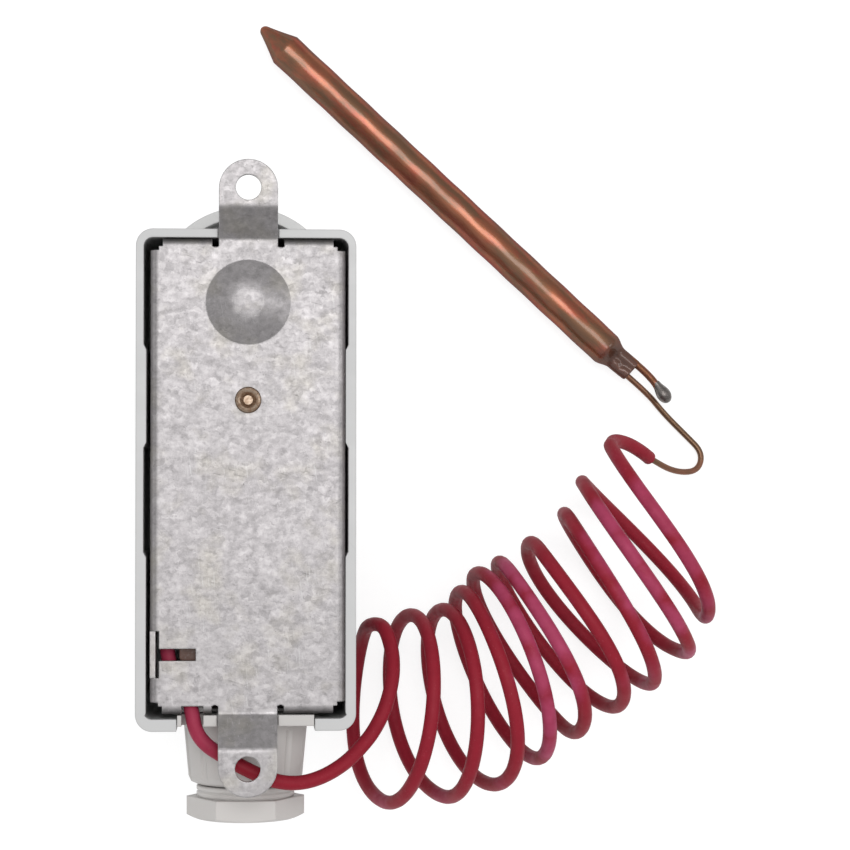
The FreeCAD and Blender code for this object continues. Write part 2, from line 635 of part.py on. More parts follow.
def base_plate():
    half = PLATE_WIDTH / 2 - PLATE_BEND
    flat = box(-half, half, PLATE_BOTTOM_Y + PLATE_BEND, PLATE_TOP_Y - PLATE_BEND, PLATE_IN_Z, BACK_Z)
    plate = fuse_all([flat, side_flange(1), side_flange(-1), end_flange(1), end_flange(-1)])
    reach = EAR_WIDTH / 2 + RELIEF_WIDTH
    for direction in (1, -1):
        edge_y = PLATE_TOP_Y if direction > 0 else PLATE_BOTTOM_Y
        for side in (1, -1):
            x0 = min(side * EAR_WIDTH / 2, side * reach)
            inner_y = edge_y - direction * RELIEF_DEPTH
            y0 = min(inner_y, edge_y + direction)
            y1 = max(inner_y, edge_y + direction)
            relief = box(x0, x0 + RELIEF_WIDTH, y0, y1, PLATE_IN_Z - 1, BACK_Z + 1)
            notch_round = Part.makeCylinder(RELIEF_WIDTH / 2, SHEET + 2,
                                            V(x0 + RELIEF_WIDTH / 2, inner_y, PLATE_IN_Z - 1))
            plate = plate.cut(relief.fuse(notch_round))
    for direction in (1, -1):
        plate = plate.fuse(ear(direction))

    # the dimple is pressed out of the sheet, so its wall keeps the sheet's thickness
    dimple_base = DIMPLE_RADIUS
    slope = SHEET * 0.55
    profile = [
        (0, BACK_Z + DIMPLE_HEIGHT),
        (DIMPLE_TOP_RADIUS, BACK_Z + DIMPLE_HEIGHT),
        (dimple_base, BACK_Z),
        (dimple_base, PLATE_IN_Z),
        (dimple_base - slope, PLATE_IN_Z),
        (DIMPLE_TOP_RADIUS - slope / 2, PLATE_IN_Z + DIMPLE_HEIGHT),
        (0, PLATE_IN_Z + DIMPLE_HEIGHT),
    ]
    plate = plate.cut(Part.makeCylinder(dimple_base, 3 * SHEET, V(0, DIMPLE_Y, PLATE_IN_Z - SHEET)))
    plate = plate.fuse(revolve_z(profile, 0, DIMPLE_Y))

    # rivet hole, and the slot beside the straight side tab, through which the sleeve can be seen
    plate = plate.cut(Part.makeCylinder(RIVET_SHANK_RADIUS, 3 * SHEET, V(0, RIVET_Y, PLATE_IN_Z - SHEET)))
    tab_out_x = -PLATE_WIDTH / 2
    tab_in_x = tab_out_x + SHEET
    tab_from_y = PLATE_BOTTOM_Y + TAB_FROM_BOTTOM
    tab_to_y = tab_from_y + TAB_LENGTH
    plate = plate.cut(box(tab_out_x - 1, tab_in_x + TAB_SLIT, tab_from_y, tab_to_y,
                          PLATE_IN_Z - PLATE_BEND, BACK_Z + 1))
    plate = plate.fuse(box(tab_out_x, tab_in_x, tab_from_y, tab_to_y, BACK_Z - SIDE_FLANGE, BACK_Z))
    plate = plate.cut(box(tab_in_x, tab_out_x + SLOT_LENGTH, SLOT_Y - SLOT_WIDTH / 2,
                          SLOT_Y + SLOT_WIDTH / 2, PLATE_IN_Z - SHEET / 5, BACK_Z + 1))

    # notch in the lower fold, where the sleeve comes out
    notch = SLEEVE_RADIUS + SLEEVE_ROOM
    plate = plate.cut(box(SLEEVE_EXIT_X - notch, SLEEVE_EXIT_X + notch, PLATE_BOTTOM_Y - 1,
                          PLATE_BOTTOM_Y + SHEET + SLEEVE_ROOM, SLEEVE_EXIT_Z - notch, BACK_Z + 1))
    return plate.removeSplitter()


def base_rivet():
    """Tubular rivet with a rolled, cupped head at the back and a plain head inside."""
    top = BACK_Z + RIVET_HEAD
    profile = [
        (0, top - RIVET_CUP_DEPTH),
        (RIVET_CUP_RADIUS * 0.55, top - RIVET_CUP_DEPTH),
        (RIVET_CUP_RADIUS, top - 0.1),
        (RIVET_CUP_RADIUS + 0.3, top),
        (RIVET_HEAD_RADIUS - 0.2, top - 0.15),
        (RIVET_HEAD_RADIUS, BACK_Z + 0.25),
        (RIVET_HEAD_RADIUS, BACK_Z),
        (RIVET_SHANK_RADIUS, BACK_Z),
        (RIVET_SHANK_RADIUS, FRAME_IN_Z),
        (RIVET_HEAD_RADIUS + 0.3, FRAME_IN_Z),
        (RIVET_HEAD_RADIUS, FRAME_IN_Z - 0.9),
        (0, FRAME_IN_Z - 0.9),
    ]
    return revolve_z(profile, 0, RIVET_Y)


# Moulded cover

def cover():
    x0 = COVER_X - COVER_WIDTH / 2
    x1 = COVER_X + COVER_WIDTH / 2
    outer = rounded_block(x0, x1, COVER_BOTTOM_Y, COVER_TOP_Y, COVER_FRONT_Z, BACK_Z, COVER_CORNER)
    front_edges = [e for e in outer.Edges if abs(e.BoundBox.ZMax - COVER_FRONT_Z) < 1e-6]
    outer = outer.makeFillet(COVER_EDGE, front_edges)
    inner_corner = COVER_CORNER - SIDE_WALL
    cavity = rounded_block(x0 + SIDE_WALL, x1 - SIDE_WALL, COVER_BOTTOM_Y + BOTTOM_WALL,
                           COVER_TOP_Y - TOP_WALL, COVER_IN_Z, BACK_Z + 1, inner_corner)
    shell = outer.cut(cavity)

    # pads along the side walls centre the base plate; their ends slope into the wall
    pads = []
    top_range = (COVER_TOP_Y - TOP_PADS[1], COVER_TOP_Y - TOP_PADS[0])
    bottom_range = (COVER_BOTTOM_Y + BOTTOM_PADS[0], COVER_BOTTOM_Y + BOTTOM_PADS[1])
    for low, high in (top_range, bottom_range):
        for side in (1, -1):
            wall_x = COVER_X + side * (COVER_WIDTH / 2 - SIDE_WALL)
            inner_x = wall_x - side * PAD_THICK
            out_x = wall_x + side * SIDE_WALL / 2
            pads.append(polygon_prism([
                V(out_x, low, COVER_IN_Z), V(wall_x, low, COVER_IN_Z),
                V(inner_x, low + 2 * PAD_THICK, COVER_IN_Z), V(inner_x, high - 2 * PAD_THICK, COVER_IN_Z),
                V(wall_x, high, COVER_IN_Z), V(out_x, high, COVER_IN_Z)], V(0, 0, COVER_DEPTH - FACE_WALL)))
    shell = fuse_all([shell] + pads)

    # screw boss inside, with its counterbored hole from the front
    boss_end_z = SWITCH_FRONT_Z - POST_HEIGHT - FIT
    boss = Part.makeCylinder(BOSS_RADIUS, boss_end_z - COVER_IN_Z + 0.5, V(0, POST_Y, COVER_IN_Z - 0.5))
    shell = shell.fuse(boss)
    shell = shell.cut(Part.makeCylinder(SCREW_RADIUS + FIT, COVER_DEPTH, V(0, POST_Y, COVER_FRONT_Z - 1)))
    sink = SCREW_HEAD + SCREW_SINK
    shell = shell.cut(Part.makeCylinder(SCREW_HEAD_RADIUS + 2 * FIT, sink + 1, V(0, POST_Y, COVER_FRONT_Z - 1)))

    # spindle hole with a collar, and the stop for the knob
    hole_radius = BUSH_RADIUS + 2 * FIT
    shell = shell.fuse(Part.makeCylinder(hole_radius + FACE_WALL, FACE_WALL, V(COVER_X, KNOB_Y, COVER_IN_Z - 1)))
    shell = shell.cut(Part.makeCylinder(hole_radius, COVER_DEPTH, V(COVER_X, KNOB_Y, COVER_FRONT_Z - 1)))
    stop = box(COVER_X - STOP_WIDTH / 2, COVER_X + STOP_WIDTH / 2, KNOB_Y - STOP_RADIUS - STOP_THICK / 2,
               KNOB_Y - STOP_RADIUS + STOP_THICK / 2, COVER_FRONT_Z - STOP_HEIGHT, COVER_IN_Z)
    shell = shell.fuse(stop)

    # pointer for the knob: a raised wedge on the front, just below the knob's rim
    tip_y = KNOB_Y - KNOB_RADIUS - POINTER_GAP
    foot_y = tip_y - POINTER_LENGTH
    foot_z = COVER_FRONT_Z + FACE_WALL / 2
    shell = shell.fuse(polygon_prism([
        V(COVER_X, tip_y, foot_z), V(COVER_X - POINTER_WIDTH / 2, foot_y, foot_z),
        V(COVER_X + POINTER_WIDTH / 2, foot_y, foot_z)], V(0, 0, COVER_FRONT_Z - POINTER_HEIGHT - foot_z)))

    # shallow notches in the end walls for the ears
    half = EAR_WIDTH / 2 + EAR_NOTCH_CLEAR
    deep = BACK_Z - SHEET - EAR_NOTCH_CLEAR
    shell = shell.cut(box(-half, half, COVER_TOP_Y - TOP_WALL - 1, COVER_TOP_Y + 1, deep, BACK_Z + 1))

    # the gland slides into this round-ended notch in the lower wall
    half = INSERT_WIDTH / 2 + FIT
    y0 = COVER_BOTTOM_Y - 1
    y1 = COVER_BOTTOM_Y + BOTTOM_WALL + PAD_THICK + 1
    shell = shell.cut(box(COVER_X - half, COVER_X + half, y0, y1, GLAND_Z, BACK_Z + 1))
    shell = shell.cut(Part.makeCylinder(half, y1 - y0, V(COVER_X, y0, GLAND_Z), Y_AXIS))
    return shell.removeSplitter()


def cover_post():
    """Hexagonal pillar on the switch; the cover's screw runs into it."""
    post = hexagon_z(POST_FLATS, 0, POST_Y, SWITCH_FRONT_Z - POST_HEIGHT, SWITCH_FRONT_Z)
    tap = Part.makeCylinder(SCREW_RADIUS, POST_HEIGHT, V(0, POST_Y, SWITCH_FRONT_Z - POST_HEIGHT))
    return post.cut(tap)


def cover_screw():
    """Slotted cheese-head screw, sunk in the cover's front."""
    head_z = COVER_FRONT_Z + SCREW_SINK
    head = Part.makeCylinder(SCREW_HEAD_RADIUS, SCREW_HEAD, V(0, POST_Y, head_z))
    outer_rim = [e for e in head.Edges if abs(e.BoundBox.ZMax - head_z) < 1e-6]
    head = head.makeFillet(SCREW_HEAD_EDGE, outer_rim)
    shank_end_z = SWITCH_FRONT_Z - POST_HEIGHT / 5
    shank = Part.makeCylinder(SCREW_RADIUS - PRESSED, shank_end_z - head_z - 1, V(0, POST_Y, head_z + 1))
    slot = box(-SCREW_SLOT / 2, SCREW_SLOT / 2, POST_Y - 2 * SCREW_HEAD_RADIUS, POST_Y + 2 * SCREW_HEAD_RADIUS,
               head_z - 1, head_z + SCREW_SLOT_DEPTH)
    return head.fuse(shank).cut(slot)


# Setting knob and spindle

def knob():
    """Fluted cup with a hub that takes the flatted spindle, a grip across its face and a stop lug."""
    outer = Part.makeCylinder(KNOB_RADIUS, KNOB_HEIGHT, V(COVER_X, KNOB_Y, FLOOR_Z))
    rim = [e for e in outer.Edges if abs(e.BoundBox.ZMax - FLOOR_Z) < 1e-6]
    outer = outer.makeFillet(KNOB_EDGE, rim)
    hollow = Part.makeCylinder(KNOB_RADIUS - KNOB_WALL, KNOB_HEIGHT, V(COVER_X, KNOB_Y, FLOOR_Z + KNOB_FACE))
    cup = outer.cut(hollow)
    hub = Part.makeCylinder(KNOB_HUB_RADIUS, KNOB_HEIGHT - KNOB_FACE - STOP_HEIGHT + 0.5,
                            V(COVER_X, KNOB_Y, FLOOR_Z + KNOB_FACE - 0.5))
    lug = box(COVER_X - LUG_WIDTH / 2, COVER_X + LUG_WIDTH / 2, KNOB_Y + STOP_RADIUS - STOP_THICK / 2,
              KNOB_Y + KNOB_RADIUS - KNOB_WALL / 2, FLOOR_Z + KNOB_FACE / 2, KNOB_BACK_Z)
    cup = fuse_all([cup, hub, lug])
    bore = Part.makeCylinder(SPINDLE_RADIUS + RUNNING, SPINDLE_IN_KNOB + KNOB_HEIGHT,
                             V(COVER_X, KNOB_Y, KNOB_BACK_Z - SPINDLE_IN_KNOB - FIT))
    flat = SPINDLE_FLAT + RUNNING
    bore = bore.cut(box(COVER_X + flat, COVER_X + SPINDLE_RADIUS + 1, KNOB_Y - 5, KNOB_Y + 5,
                        FLOOR_Z, COVER_FRONT_Z + 1))
    cup = cup.cut(bore)
    flutes = []
    for i in range(KNOB_FLUTES):
        angle = 2 * math.pi * i / KNOB_FLUTES
        reach = KNOB_RADIUS + KNOB_FLUTE_RADIUS - KNOB_FLUTE_DEPTH
        flutes.append(Part.makeCylinder(KNOB_FLUTE_RADIUS, KNOB_HEIGHT - FLUTE_FROM_FACE - FLUTE_FROM_BACK,
                                        V(COVER_X + reach * math.cos(angle), KNOB_Y + reach * math.sin(angle),
                                          FLOOR_Z + FLUTE_FROM_FACE)))
    cup = cup.cut(Part.makeCompound(flutes))

    # two shallow segments beside the grip bar are sunk into the face
    dish = Part.makeCylinder(DISH_RADIUS, GRIP_DEPTH + 1, V(COVER_X, KNOB_Y, FLOOR_Z - 1))
    bar = box(COVER_X - GRIP_WIDTH / 2, COVER_X + GRIP_WIDTH / 2, KNOB_Y - KNOB_RADIUS,
              KNOB_Y + KNOB_RADIUS, FLOOR_Z - 2, FLOOR_Z + 2 * GRIP_DEPTH)
    cup = cup.cut(dish.cut(bar))
    return cup.removeSplitter()


def spindle():
    """Turned spindle: thread in the spring seat, collar under the bridge, clip groove, flat in the knob."""
    thread_end_z = SEAT_BACK_Z + SPINDLE_IN_SEAT - RUNNING
    groove_z = BUSH_END_Z - RUNNING
    knob_end_z = KNOB_BACK_Z - SPINDLE_IN_KNOB
    profile = [
        (0, thread_end_z),
        (THREAD_RADIUS - 0.3, thread_end_z),
        (THREAD_RADIUS, thread_end_z - 0.3),
        (THREAD_RADIUS, COLLAR_BACK_Z),
        (COLLAR_RADIUS, COLLAR_BACK_Z),
        (COLLAR_RADIUS, COLLAR_BACK_Z - COLLAR_THICK),
        (SPINDLE_RADIUS, COLLAR_BACK_Z - COLLAR_THICK),
        (SPINDLE_RADIUS, groove_z),
        (SPINDLE_RADIUS - CLIP_GROOVE, groove_z),
        (SPINDLE_RADIUS - CLIP_GROOVE, groove_z - CLIP_THICK),
        (SPINDLE_RADIUS, groove_z - CLIP_THICK),
        (SPINDLE_RADIUS, knob_end_z + 0.4),
        (SPINDLE_RADIUS - 0.4, knob_end_z),
        (0, knob_end_z),
    ]
    turned = revolve_z(profile, COVER_X, KNOB_Y)
    flat = box(COVER_X + SPINDLE_FLAT, COVER_X + SPINDLE_RADIUS + 1, KNOB_Y - 5, KNOB_Y + 5,
               knob_end_z - 1, KNOB_BACK_Z - 0.2)
    return turned.cut(flat)


def spindle_clip():
    """Open retaining ring in the spindle's groove, under the end of the bush."""
    top_z = BUSH_END_Z - RUNNING
    ring = Part.makeCylinder(CLIP_RADIUS, CLIP_THICK, V(COVER_X, KNOB_Y, top_z - CLIP_THICK))
    ring = ring.cut(Part.makeCylinder(SPINDLE_RADIUS - CLIP_GROOVE, 4 * CLIP_THICK,
                                      V(COVER_X, KNOB_Y, top_z - 2 * CLIP_THICK)))
    gap = box(COVER_X - CLIP_MOUTH / 2, COVER_X + CLIP_MOUTH / 2, KNOB_Y, KNOB_Y + 2 * CLIP_RADIUS,
              top_z - 2 * CLIP_THICK, top_z + CLIP_THICK)
    return ring.cut(gap)


def spindle_bush():
    """Flanged brass bush pressed into the bridge; the spindle turns in it."""
    profile = [
        (SPINDLE_RADIUS + RUNNING, FRAME_END_Z),
        (BUSH_RADIUS, FRAME_END_Z),
        (BUSH_RADIUS, BRIDGE_FRONT_Z),
        (BUSH_FLANGE_RADIUS, BRIDGE_FRONT_Z),
        (BUSH_FLANGE_RADIUS, BRIDGE_FRONT_Z - BUSH_FLANGE),
        (BUSH_RADIUS, BRIDGE_FRONT_Z - BUSH_FLANGE),
        (BUSH_RADIUS, BUSH_END_Z),
        (SPINDLE_RADIUS + RUNNING, BUSH_END_Z),
    ]
    return revolve_z(profile, COVER_X, KNOB_Y)


def spring_seat():
    """Square nut on the spindle's thread; the frame's walls keep it from turning."""
    half = FRAME_HALF - FRAME_SHEET - SEAT_SIDE_CLEAR
    seat = box(-half, half, KNOB_Y - SEAT_LENGTH / 2, KNOB_Y + SEAT_LENGTH / 2, SEAT_FRONT_Z, SEAT_BACK_Z)
    seat = seat.makeChamfer(0.5, [e for e in seat.Edges if e.BoundBox.YLength > SEAT_LENGTH - 0.1])
    return seat.cut(Part.makeCylinder(THREAD_RADIUS + RUNNING, 2 * SEAT_THICK,
                                      V(COVER_X, KNOB_Y, SEAT_FRONT_Z - SEAT_THICK / 2)))


def range_spring():
    """Compression spring between the lever and the spring seat."""
    inset = SPRING_WIRE_RADIUS + SPRING_END
    height = LEVER_FRONT_Z - SEAT_BACK_Z - 2 * inset
    helix = Part.makeHelix(SPRING_PITCH, height, SPRING_COIL_RADIUS)
    start = V(SPRING_COIL_RADIUS, 0, 0)
    wire = Part.Wire([helix])
    circle = Part.Wire([Part.Circle(start, Y_AXIS, SPRING_WIRE_RADIUS).toShape()])
    coil = wire.makePipeShell([circle], True, True)
    coil.translate(V(COVER_X, KNOB_Y, SEAT_BACK_Z + inset))
    return coil


# Frame, bridge, lever and capsule

def mechanism_frame():
    """Folded bracket: a foot on the base plate and two side walls with a waist."""
    foot = box(-FRAME_HALF, FRAME_HALF, FRAME_WALL_END_Y, FRAME_TOP_Y, FRAME_IN_Z, PLATE_IN_Z)
    tail = box(-FRAME_HALF + 2, FRAME_HALF - 2, STRIP_FROM_Y - FRAME_FOOT_END, FRAME_WALL_END_Y,
               FRAME_IN_Z, PLATE_IN_Z)
    switch_end_z = PLATE_IN_Z - SWITCH_WALL_SHARE * INNER_DEPTH
    waist_z = PLATE_IN_Z - WAIST_SHARE * INNER_DEPTH
    outline = [
        (FRAME_TOP_Y, PLATE_IN_Z), (FRAME_TOP_Y, FRAME_END_Z),
        (BRIDGE_END_Y, FRAME_END_Z), (BRIDGE_END_Y - FRAME_WAIST_SLOPE, waist_z),
        (SWITCH_TO_Y + FRAME_WAIST_SLOPE, waist_z), (SWITCH_TO_Y - 1, switch_end_z),
        (FRAME_WALL_END_Y, switch_end_z), (FRAME_WALL_END_Y, PLATE_IN_Z),
    ]
    parts = [foot, tail]
    for side in (1, -1):
        x = FRAME_HALF - FRAME_SHEET if side > 0 else -FRAME_HALF
        parts.append(polygon_prism([V(x, y, z) for y, z in outline], V(FRAME_SHEET, 0, 0)))
        for tab_y in bridge_tab_ys():
            parts.append(box(x, x + FRAME_SHEET, tab_y - FRAME_TAB / 2, tab_y + FRAME_TAB / 2,
                             BRIDGE_FRONT_Z - FRAME_TAB_PROUD, FRAME_END_Z + 1))
    frame = fuse_all(parts)
    frame = frame.cut(Part.makeCylinder(CAPSULE_STUD_RADIUS + FIT, 4, V(0, DIMPLE_Y, PLATE_IN_Z - 3)))
    frame = frame.cut(Part.makeCylinder(RIVET_SHANK_RADIUS, 4, V(0, RIVET_Y, PLATE_IN_Z - 3)))
    frame = frame.cut(rod(LEVER_PIN_RADIUS, V(-FRAME_WIDTH, LEVER_PIVOT_Y, LEVER_PIN_Z),
                          V(FRAME_WIDTH, LEVER_PIVOT_Y, LEVER_PIN_Z)))
    frame = frame.cut(rod(CAPILLARY_RADIUS + 2 * FIT, V(-FRAME_WIDTH, DIMPLE_Y, CAPILLARY_Z),
                          V(0, DIMPLE_Y, CAPILLARY_Z)))
    for y in switch_screw_ys():
        frame = frame.cut(rod(SWITCH_SCREW_RADIUS, V(0, y, SWITCH_SCREW_Z), V(FRAME_WIDTH, y, SWITCH_SCREW_Z)))
    frame = frame.cut(rod(EARTH_SCREW_RADIUS, V(-FRAME_WIDTH, EARTH_SCREW_Y, EARTH_SCREW_Z),
                          V(0, EARTH_SCREW_Y, EARTH_SCREW_Z)))
    return frame


def bridge_tab_ys():
    return (FRAME_TOP_Y - FRAME_TAB_INSET, BRIDGE_END_Y + FRAME_TAB_INSET)


def switch_screw_ys():
    middle = (SWITCH_FROM_Y + SWITCH_TO_Y) / 2
    return (middle - SWITCH_SCREW_SPACING / 2, middle + SWITCH_SCREW_SPACING / 2)


def frame_bridge():
    """Plate across the frame's walls, held by their tabs, with the bush's hole."""
    half = FRAME_HALF + BRIDGE_OVERHANG
    plate = rounded_block(-half, half, BRIDGE_END_Y, FRAME_TOP_Y, BRIDGE_FRONT_Z, FRAME_END_Z, BRIDGE_CORNER)
    for side in (1, -1):
        x = FRAME_HALF - FRAME_SHEET if side > 0 else -FRAME_HALF
        for tab_y in bridge_tab_ys():
            plate = plate.cut(box(x, x + FRAME_SHEET, tab_y - FRAME_TAB / 2, tab_y + FRAME_TAB / 2,
                                  BRIDGE_FRONT_Z - 1, FRAME_END_Z + 1))
    return plate.cut(Part.makeCylinder(BUSH_RADIUS, 4, V(COVER_X, KNOB_Y, BRIDGE_FRONT_Z - 1)))


def diaphragm_capsule():
    """Two domed discs brazed at their rim, with a stud into the dimple and a collar for the button."""
    back = FRAME_IN_Z
    front = FRAME_IN_Z - CAPSULE_THICK
    middle = (back + front) / 2
    edge = CAPSULE_THICK * 0.18
    stud_z = PLATE_IN_Z + CAPSULE_STUD
    profile = [
        (0, stud_z),
        (CAPSULE_STUD_RADIUS, stud_z),
        (CAPSULE_STUD_RADIUS, back),
        (CAPSULE_RADIUS - CAPSULE_EDGE, back),
        (CAPSULE_RADIUS, back - edge),
        (CAPSULE_RADIUS, middle + CAPSULE_RIM_THICK / 2),
        (CAPSULE_RIM_RADIUS, middle + CAPSULE_RIM_THICK / 2),
        (CAPSULE_RIM_RADIUS, middle - CAPSULE_RIM_THICK / 2),
        (CAPSULE_RADIUS, middle - CAPSULE_RIM_THICK / 2),
        (CAPSULE_RADIUS, front + edge),
        (CAPSULE_RADIUS - CAPSULE_EDGE, front),
        (CAPSULE_NECK_RADIUS, front),
        (CAPSULE_NECK_RADIUS, front - CAPSULE_NECK),
        (BUTTON_RADIUS + RUNNING, front - CAPSULE_NECK),
        (BUTTON_RADIUS + RUNNING, front + BUTTON_IN + RUNNING),
        (0, front + BUTTON_IN + RUNNING),
    ]
    return revolve_z(profile, 0, DIMPLE_Y)


def capsule_button():
    """Pusher in the capsule's collar; its round end meets the lever."""
    foot_z = FRAME_IN_Z - CAPSULE_THICK + BUTTON_IN
    end_z = CAPSULE_FRONT_Z - BUTTON_HEIGHT
    profile = [
        (0, foot_z),
        (BUTTON_RADIUS, foot_z),
        (BUTTON_RADIUS, end_z + 0.5),
        (BUTTON_RADIUS - 0.5, end_z),
        (0, end_z),
    ]
    return revolve_z(profile, 0, DIMPLE_Y)


def lever():
    """Flat lever with two cheeks folded round its pivot pin and a round nose over the plunger."""
    half = LEVER_WIDTH / 2
    nose_radius = half * LEVER_NOSE_SHARE
    nose_y = LEVER_END_Y + nose_radius
    edge_y = LEVER_PIVOT_Y + LEVER_EDGE
    nose = Part.makeCylinder(nose_radius, LEVER_THICK, V(0, nose_y, LEVER_FRONT_Z))
    taper = polygon_prism([
        V(-half, nose_y + LEVER_TAPER, LEVER_FRONT_Z), V(-nose_radius, nose_y, LEVER_FRONT_Z),
        V(nose_radius, nose_y, LEVER_FRONT_Z), V(half, nose_y + LEVER_TAPER, LEVER_FRONT_Z)],
        V(0, 0, LEVER_THICK))
    plate = box(-half, half, nose_y + LEVER_TAPER, edge_y, LEVER_FRONT_Z, LEVER_BACK_Z)
    parts = [plate, taper, nose]
    for side in (1, -1):
        x = half - LEVER_THICK if side > 0 else -half
        cheek = box(x, x + LEVER_THICK, LEVER_PIVOT_Y - LEVER_EYE, edge_y, LEVER_PIN_Z, LEVER_BACK_Z)
        eye = rod(LEVER_EYE, V(x, LEVER_PIVOT_Y, LEVER_PIN_Z), V(x + LEVER_THICK, LEVER_PIVOT_Y, LEVER_PIN_Z))
        parts.append(cheek.fuse(eye))
    body = fuse_all(parts)
    return body.cut(rod(LEVER_PIN_RADIUS + RUNNING, V(-FRAME_WIDTH, LEVER_PIVOT_Y, LEVER_PIN_Z),
                        V(FRAME_WIDTH, LEVER_PIVOT_Y, LEVER_PIN_Z)))


def lever_pin():
    """Pin through both frame walls, with a small head on one side."""
    start = V(-FRAME_HALF - PIN_HEAD / 2, LEVER_PIVOT_Y, LEVER_PIN_Z)
    end = V(FRAME_HALF, LEVER_PIVOT_Y, LEVER_PIN_Z)
    head = rod(PIN_HEAD_RADIUS, end, end + V(PIN_HEAD, 0, 0))
    return rod(LEVER_PIN_RADIUS, start, end).fuse(head)


# Switch and terminals

def switch_body():
    """Moulded snap switch between the frame's walls, with the plunger's bore."""
    half = FRAME_HALF - FRAME_SHEET
    body = box(-half, half, SWITCH_FROM_Y, SWITCH_TO_Y, SWITCH_FRONT_Z, SWITCH_BACK_Z)
    body = body.makeFillet(STRIP_EDGE, [e for e in body.Edges if e.BoundBox.ZLength > SWITCH_HEIGHT - 0.1])
    seam_z = SWITCH_BACK_Z - SWITCH_LID
    seam = box(-half - 1, half + 1, SWITCH_FROM_Y - 1, SWITCH_FROM_Y + SWITCH_SEAM,
               seam_z - SWITCH_SEAM / 2, seam_z + SWITCH_SEAM / 2)
    body = body.cut(seam)
    bore = Part.makeCylinder(PLUNGER_RADIUS + RUNNING, PLUNGER_LENGTH + 1,
                             V(0, PLUNGER_Y, SWITCH_BACK_Z - PLUNGER_LENGTH + PLUNGER_STICKS_OUT - 1.0))
    body = body.cut(bore)
    for y in switch_screw_ys():
        body = body.cut(rod(SWITCH_SCREW_RADIUS, V(FRAME_HALF - SWITCH_SCREW_LENGTH - 1, y, SWITCH_SCREW_Z),
                            V(half + 1, y, SWITCH_SCREW_Z)))
    return body


def switch_plunger():
    """Switch button with a domed end under the lever's nose."""
    top_z = LEVER_FRONT_Z - RUNNING
    end_z = top_z - PLUNGER_LENGTH
    profile = [
        (0, top_z), (PLUNGER_RADIUS - 0.5, top_z), (PLUNGER_RADIUS, top_z - 0.4),
        (PLUNGER_RADIUS, end_z), (0, end_z),
    ]
    return revolve_z(profile, 0, PLUNGER_Y)


def switch_screws():
    """Two slotted screws through the right frame wall into the switch."""
    screws = []
    for y in switch_screw_ys():
        seat = V(FRAME_HALF, y, SWITCH_SCREW_Z)
        screw = rod(SWITCH_SCREW_RADIUS - PRESSED, seat - V(SWITCH_SCREW_LENGTH, 0, 0), seat)
        screw = screw.fuse(rod(SWITCH_SCREW_HEAD_RADIUS, seat, seat + V(SWITCH_SCREW_HEAD, 0, 0)))
        slot = box(FRAME_HALF + SWITCH_SCREW_HEAD / 2, FRAME_HALF + 2 * SWITCH_SCREW_HEAD,
                   y - 2 * SWITCH_SCREW_HEAD_RADIUS, y + 2 * SWITCH_SCREW_HEAD_RADIUS,
                   SWITCH_SCREW_Z - FINE_SLOT / 2, SWITCH_SCREW_Z + FINE_SLOT / 2)
        screws.append(screw.cut(slot))
    return Part.makeCompound(screws)


def terminal_x(i):
    return STRIP_FROM_X + TERMINAL_PITCH * (i + 0.5)


def terminal_strip():
    """Brown moulded strip on the frame's tail with one open bay for each clamp."""
    strip = box(STRIP_FROM_X, STRIP_TO_X, STRIP_FROM_Y, STRIP_TO_Y, STRIP_FRONT_Z, FRAME_IN_Z)
    strip = strip.makeFillet(STRIP_EDGE, [e for e in strip.Edges if e.BoundBox.ZLength > STRIP_HEIGHT - 0.1])
    groove = LINK_WIDTH / 2 + LINK_CLEAR
    for i in range(TERMINALS):
        x = terminal_x(i)
        strip = strip.cut(box(x - BAY_WIDTH / 2, x + BAY_WIDTH / 2, STRIP_FROM_Y - 1, STRIP_TO_Y - BAY_BACK,
                              STRIP_FRONT_Z - 1, STRIP_FRONT_Z + BAY_DEPTH))
        strip = strip.cut(box(x - groove, x + groove, STRIP_TO_Y - BAY_BACK - 1, STRIP_TO_Y + 1,
                              STRIP_FRONT_Z - 1, STRIP_FRONT_Z + BAY_DEPTH / 2 + LINK_CLEAR))
    return strip


def terminal_clamps():
    """Box clamps of brass in the bays, each open towards the cable gland."""
    clamps = []
    half = BAY_WIDTH / 2 - FIT
    floor_z = STRIP_FRONT_Z + BAY_DEPTH
    end_y = CLAMP_Y + CLAMP_LENGTH
    for i in range(TERMINALS):
        x = terminal_x(i)
        clamp = box(x - half, x + half, CLAMP_Y, end_y, CLAMP_FACE_Z, floor_z)
        clamp = clamp.cut(box(x - half + CLAMP_WALL, x + half - CLAMP_WALL, CLAMP_Y - 1, end_y + 1,
                              CLAMP_FACE_Z + CLAMP_ROOF, floor_z - CLAMP_WALL))
        clamp = clamp.cut(Part.makeCylinder(TERMINAL_SCREW_RADIUS, 2 * CLAMP_ROOF,
                                            V(x, CLAMP_Y + CLAMP_LENGTH / 2, CLAMP_FACE_Z - CLAMP_ROOF / 2)))
        clamps.append(clamp)
    return Part.makeCompound(clamps)


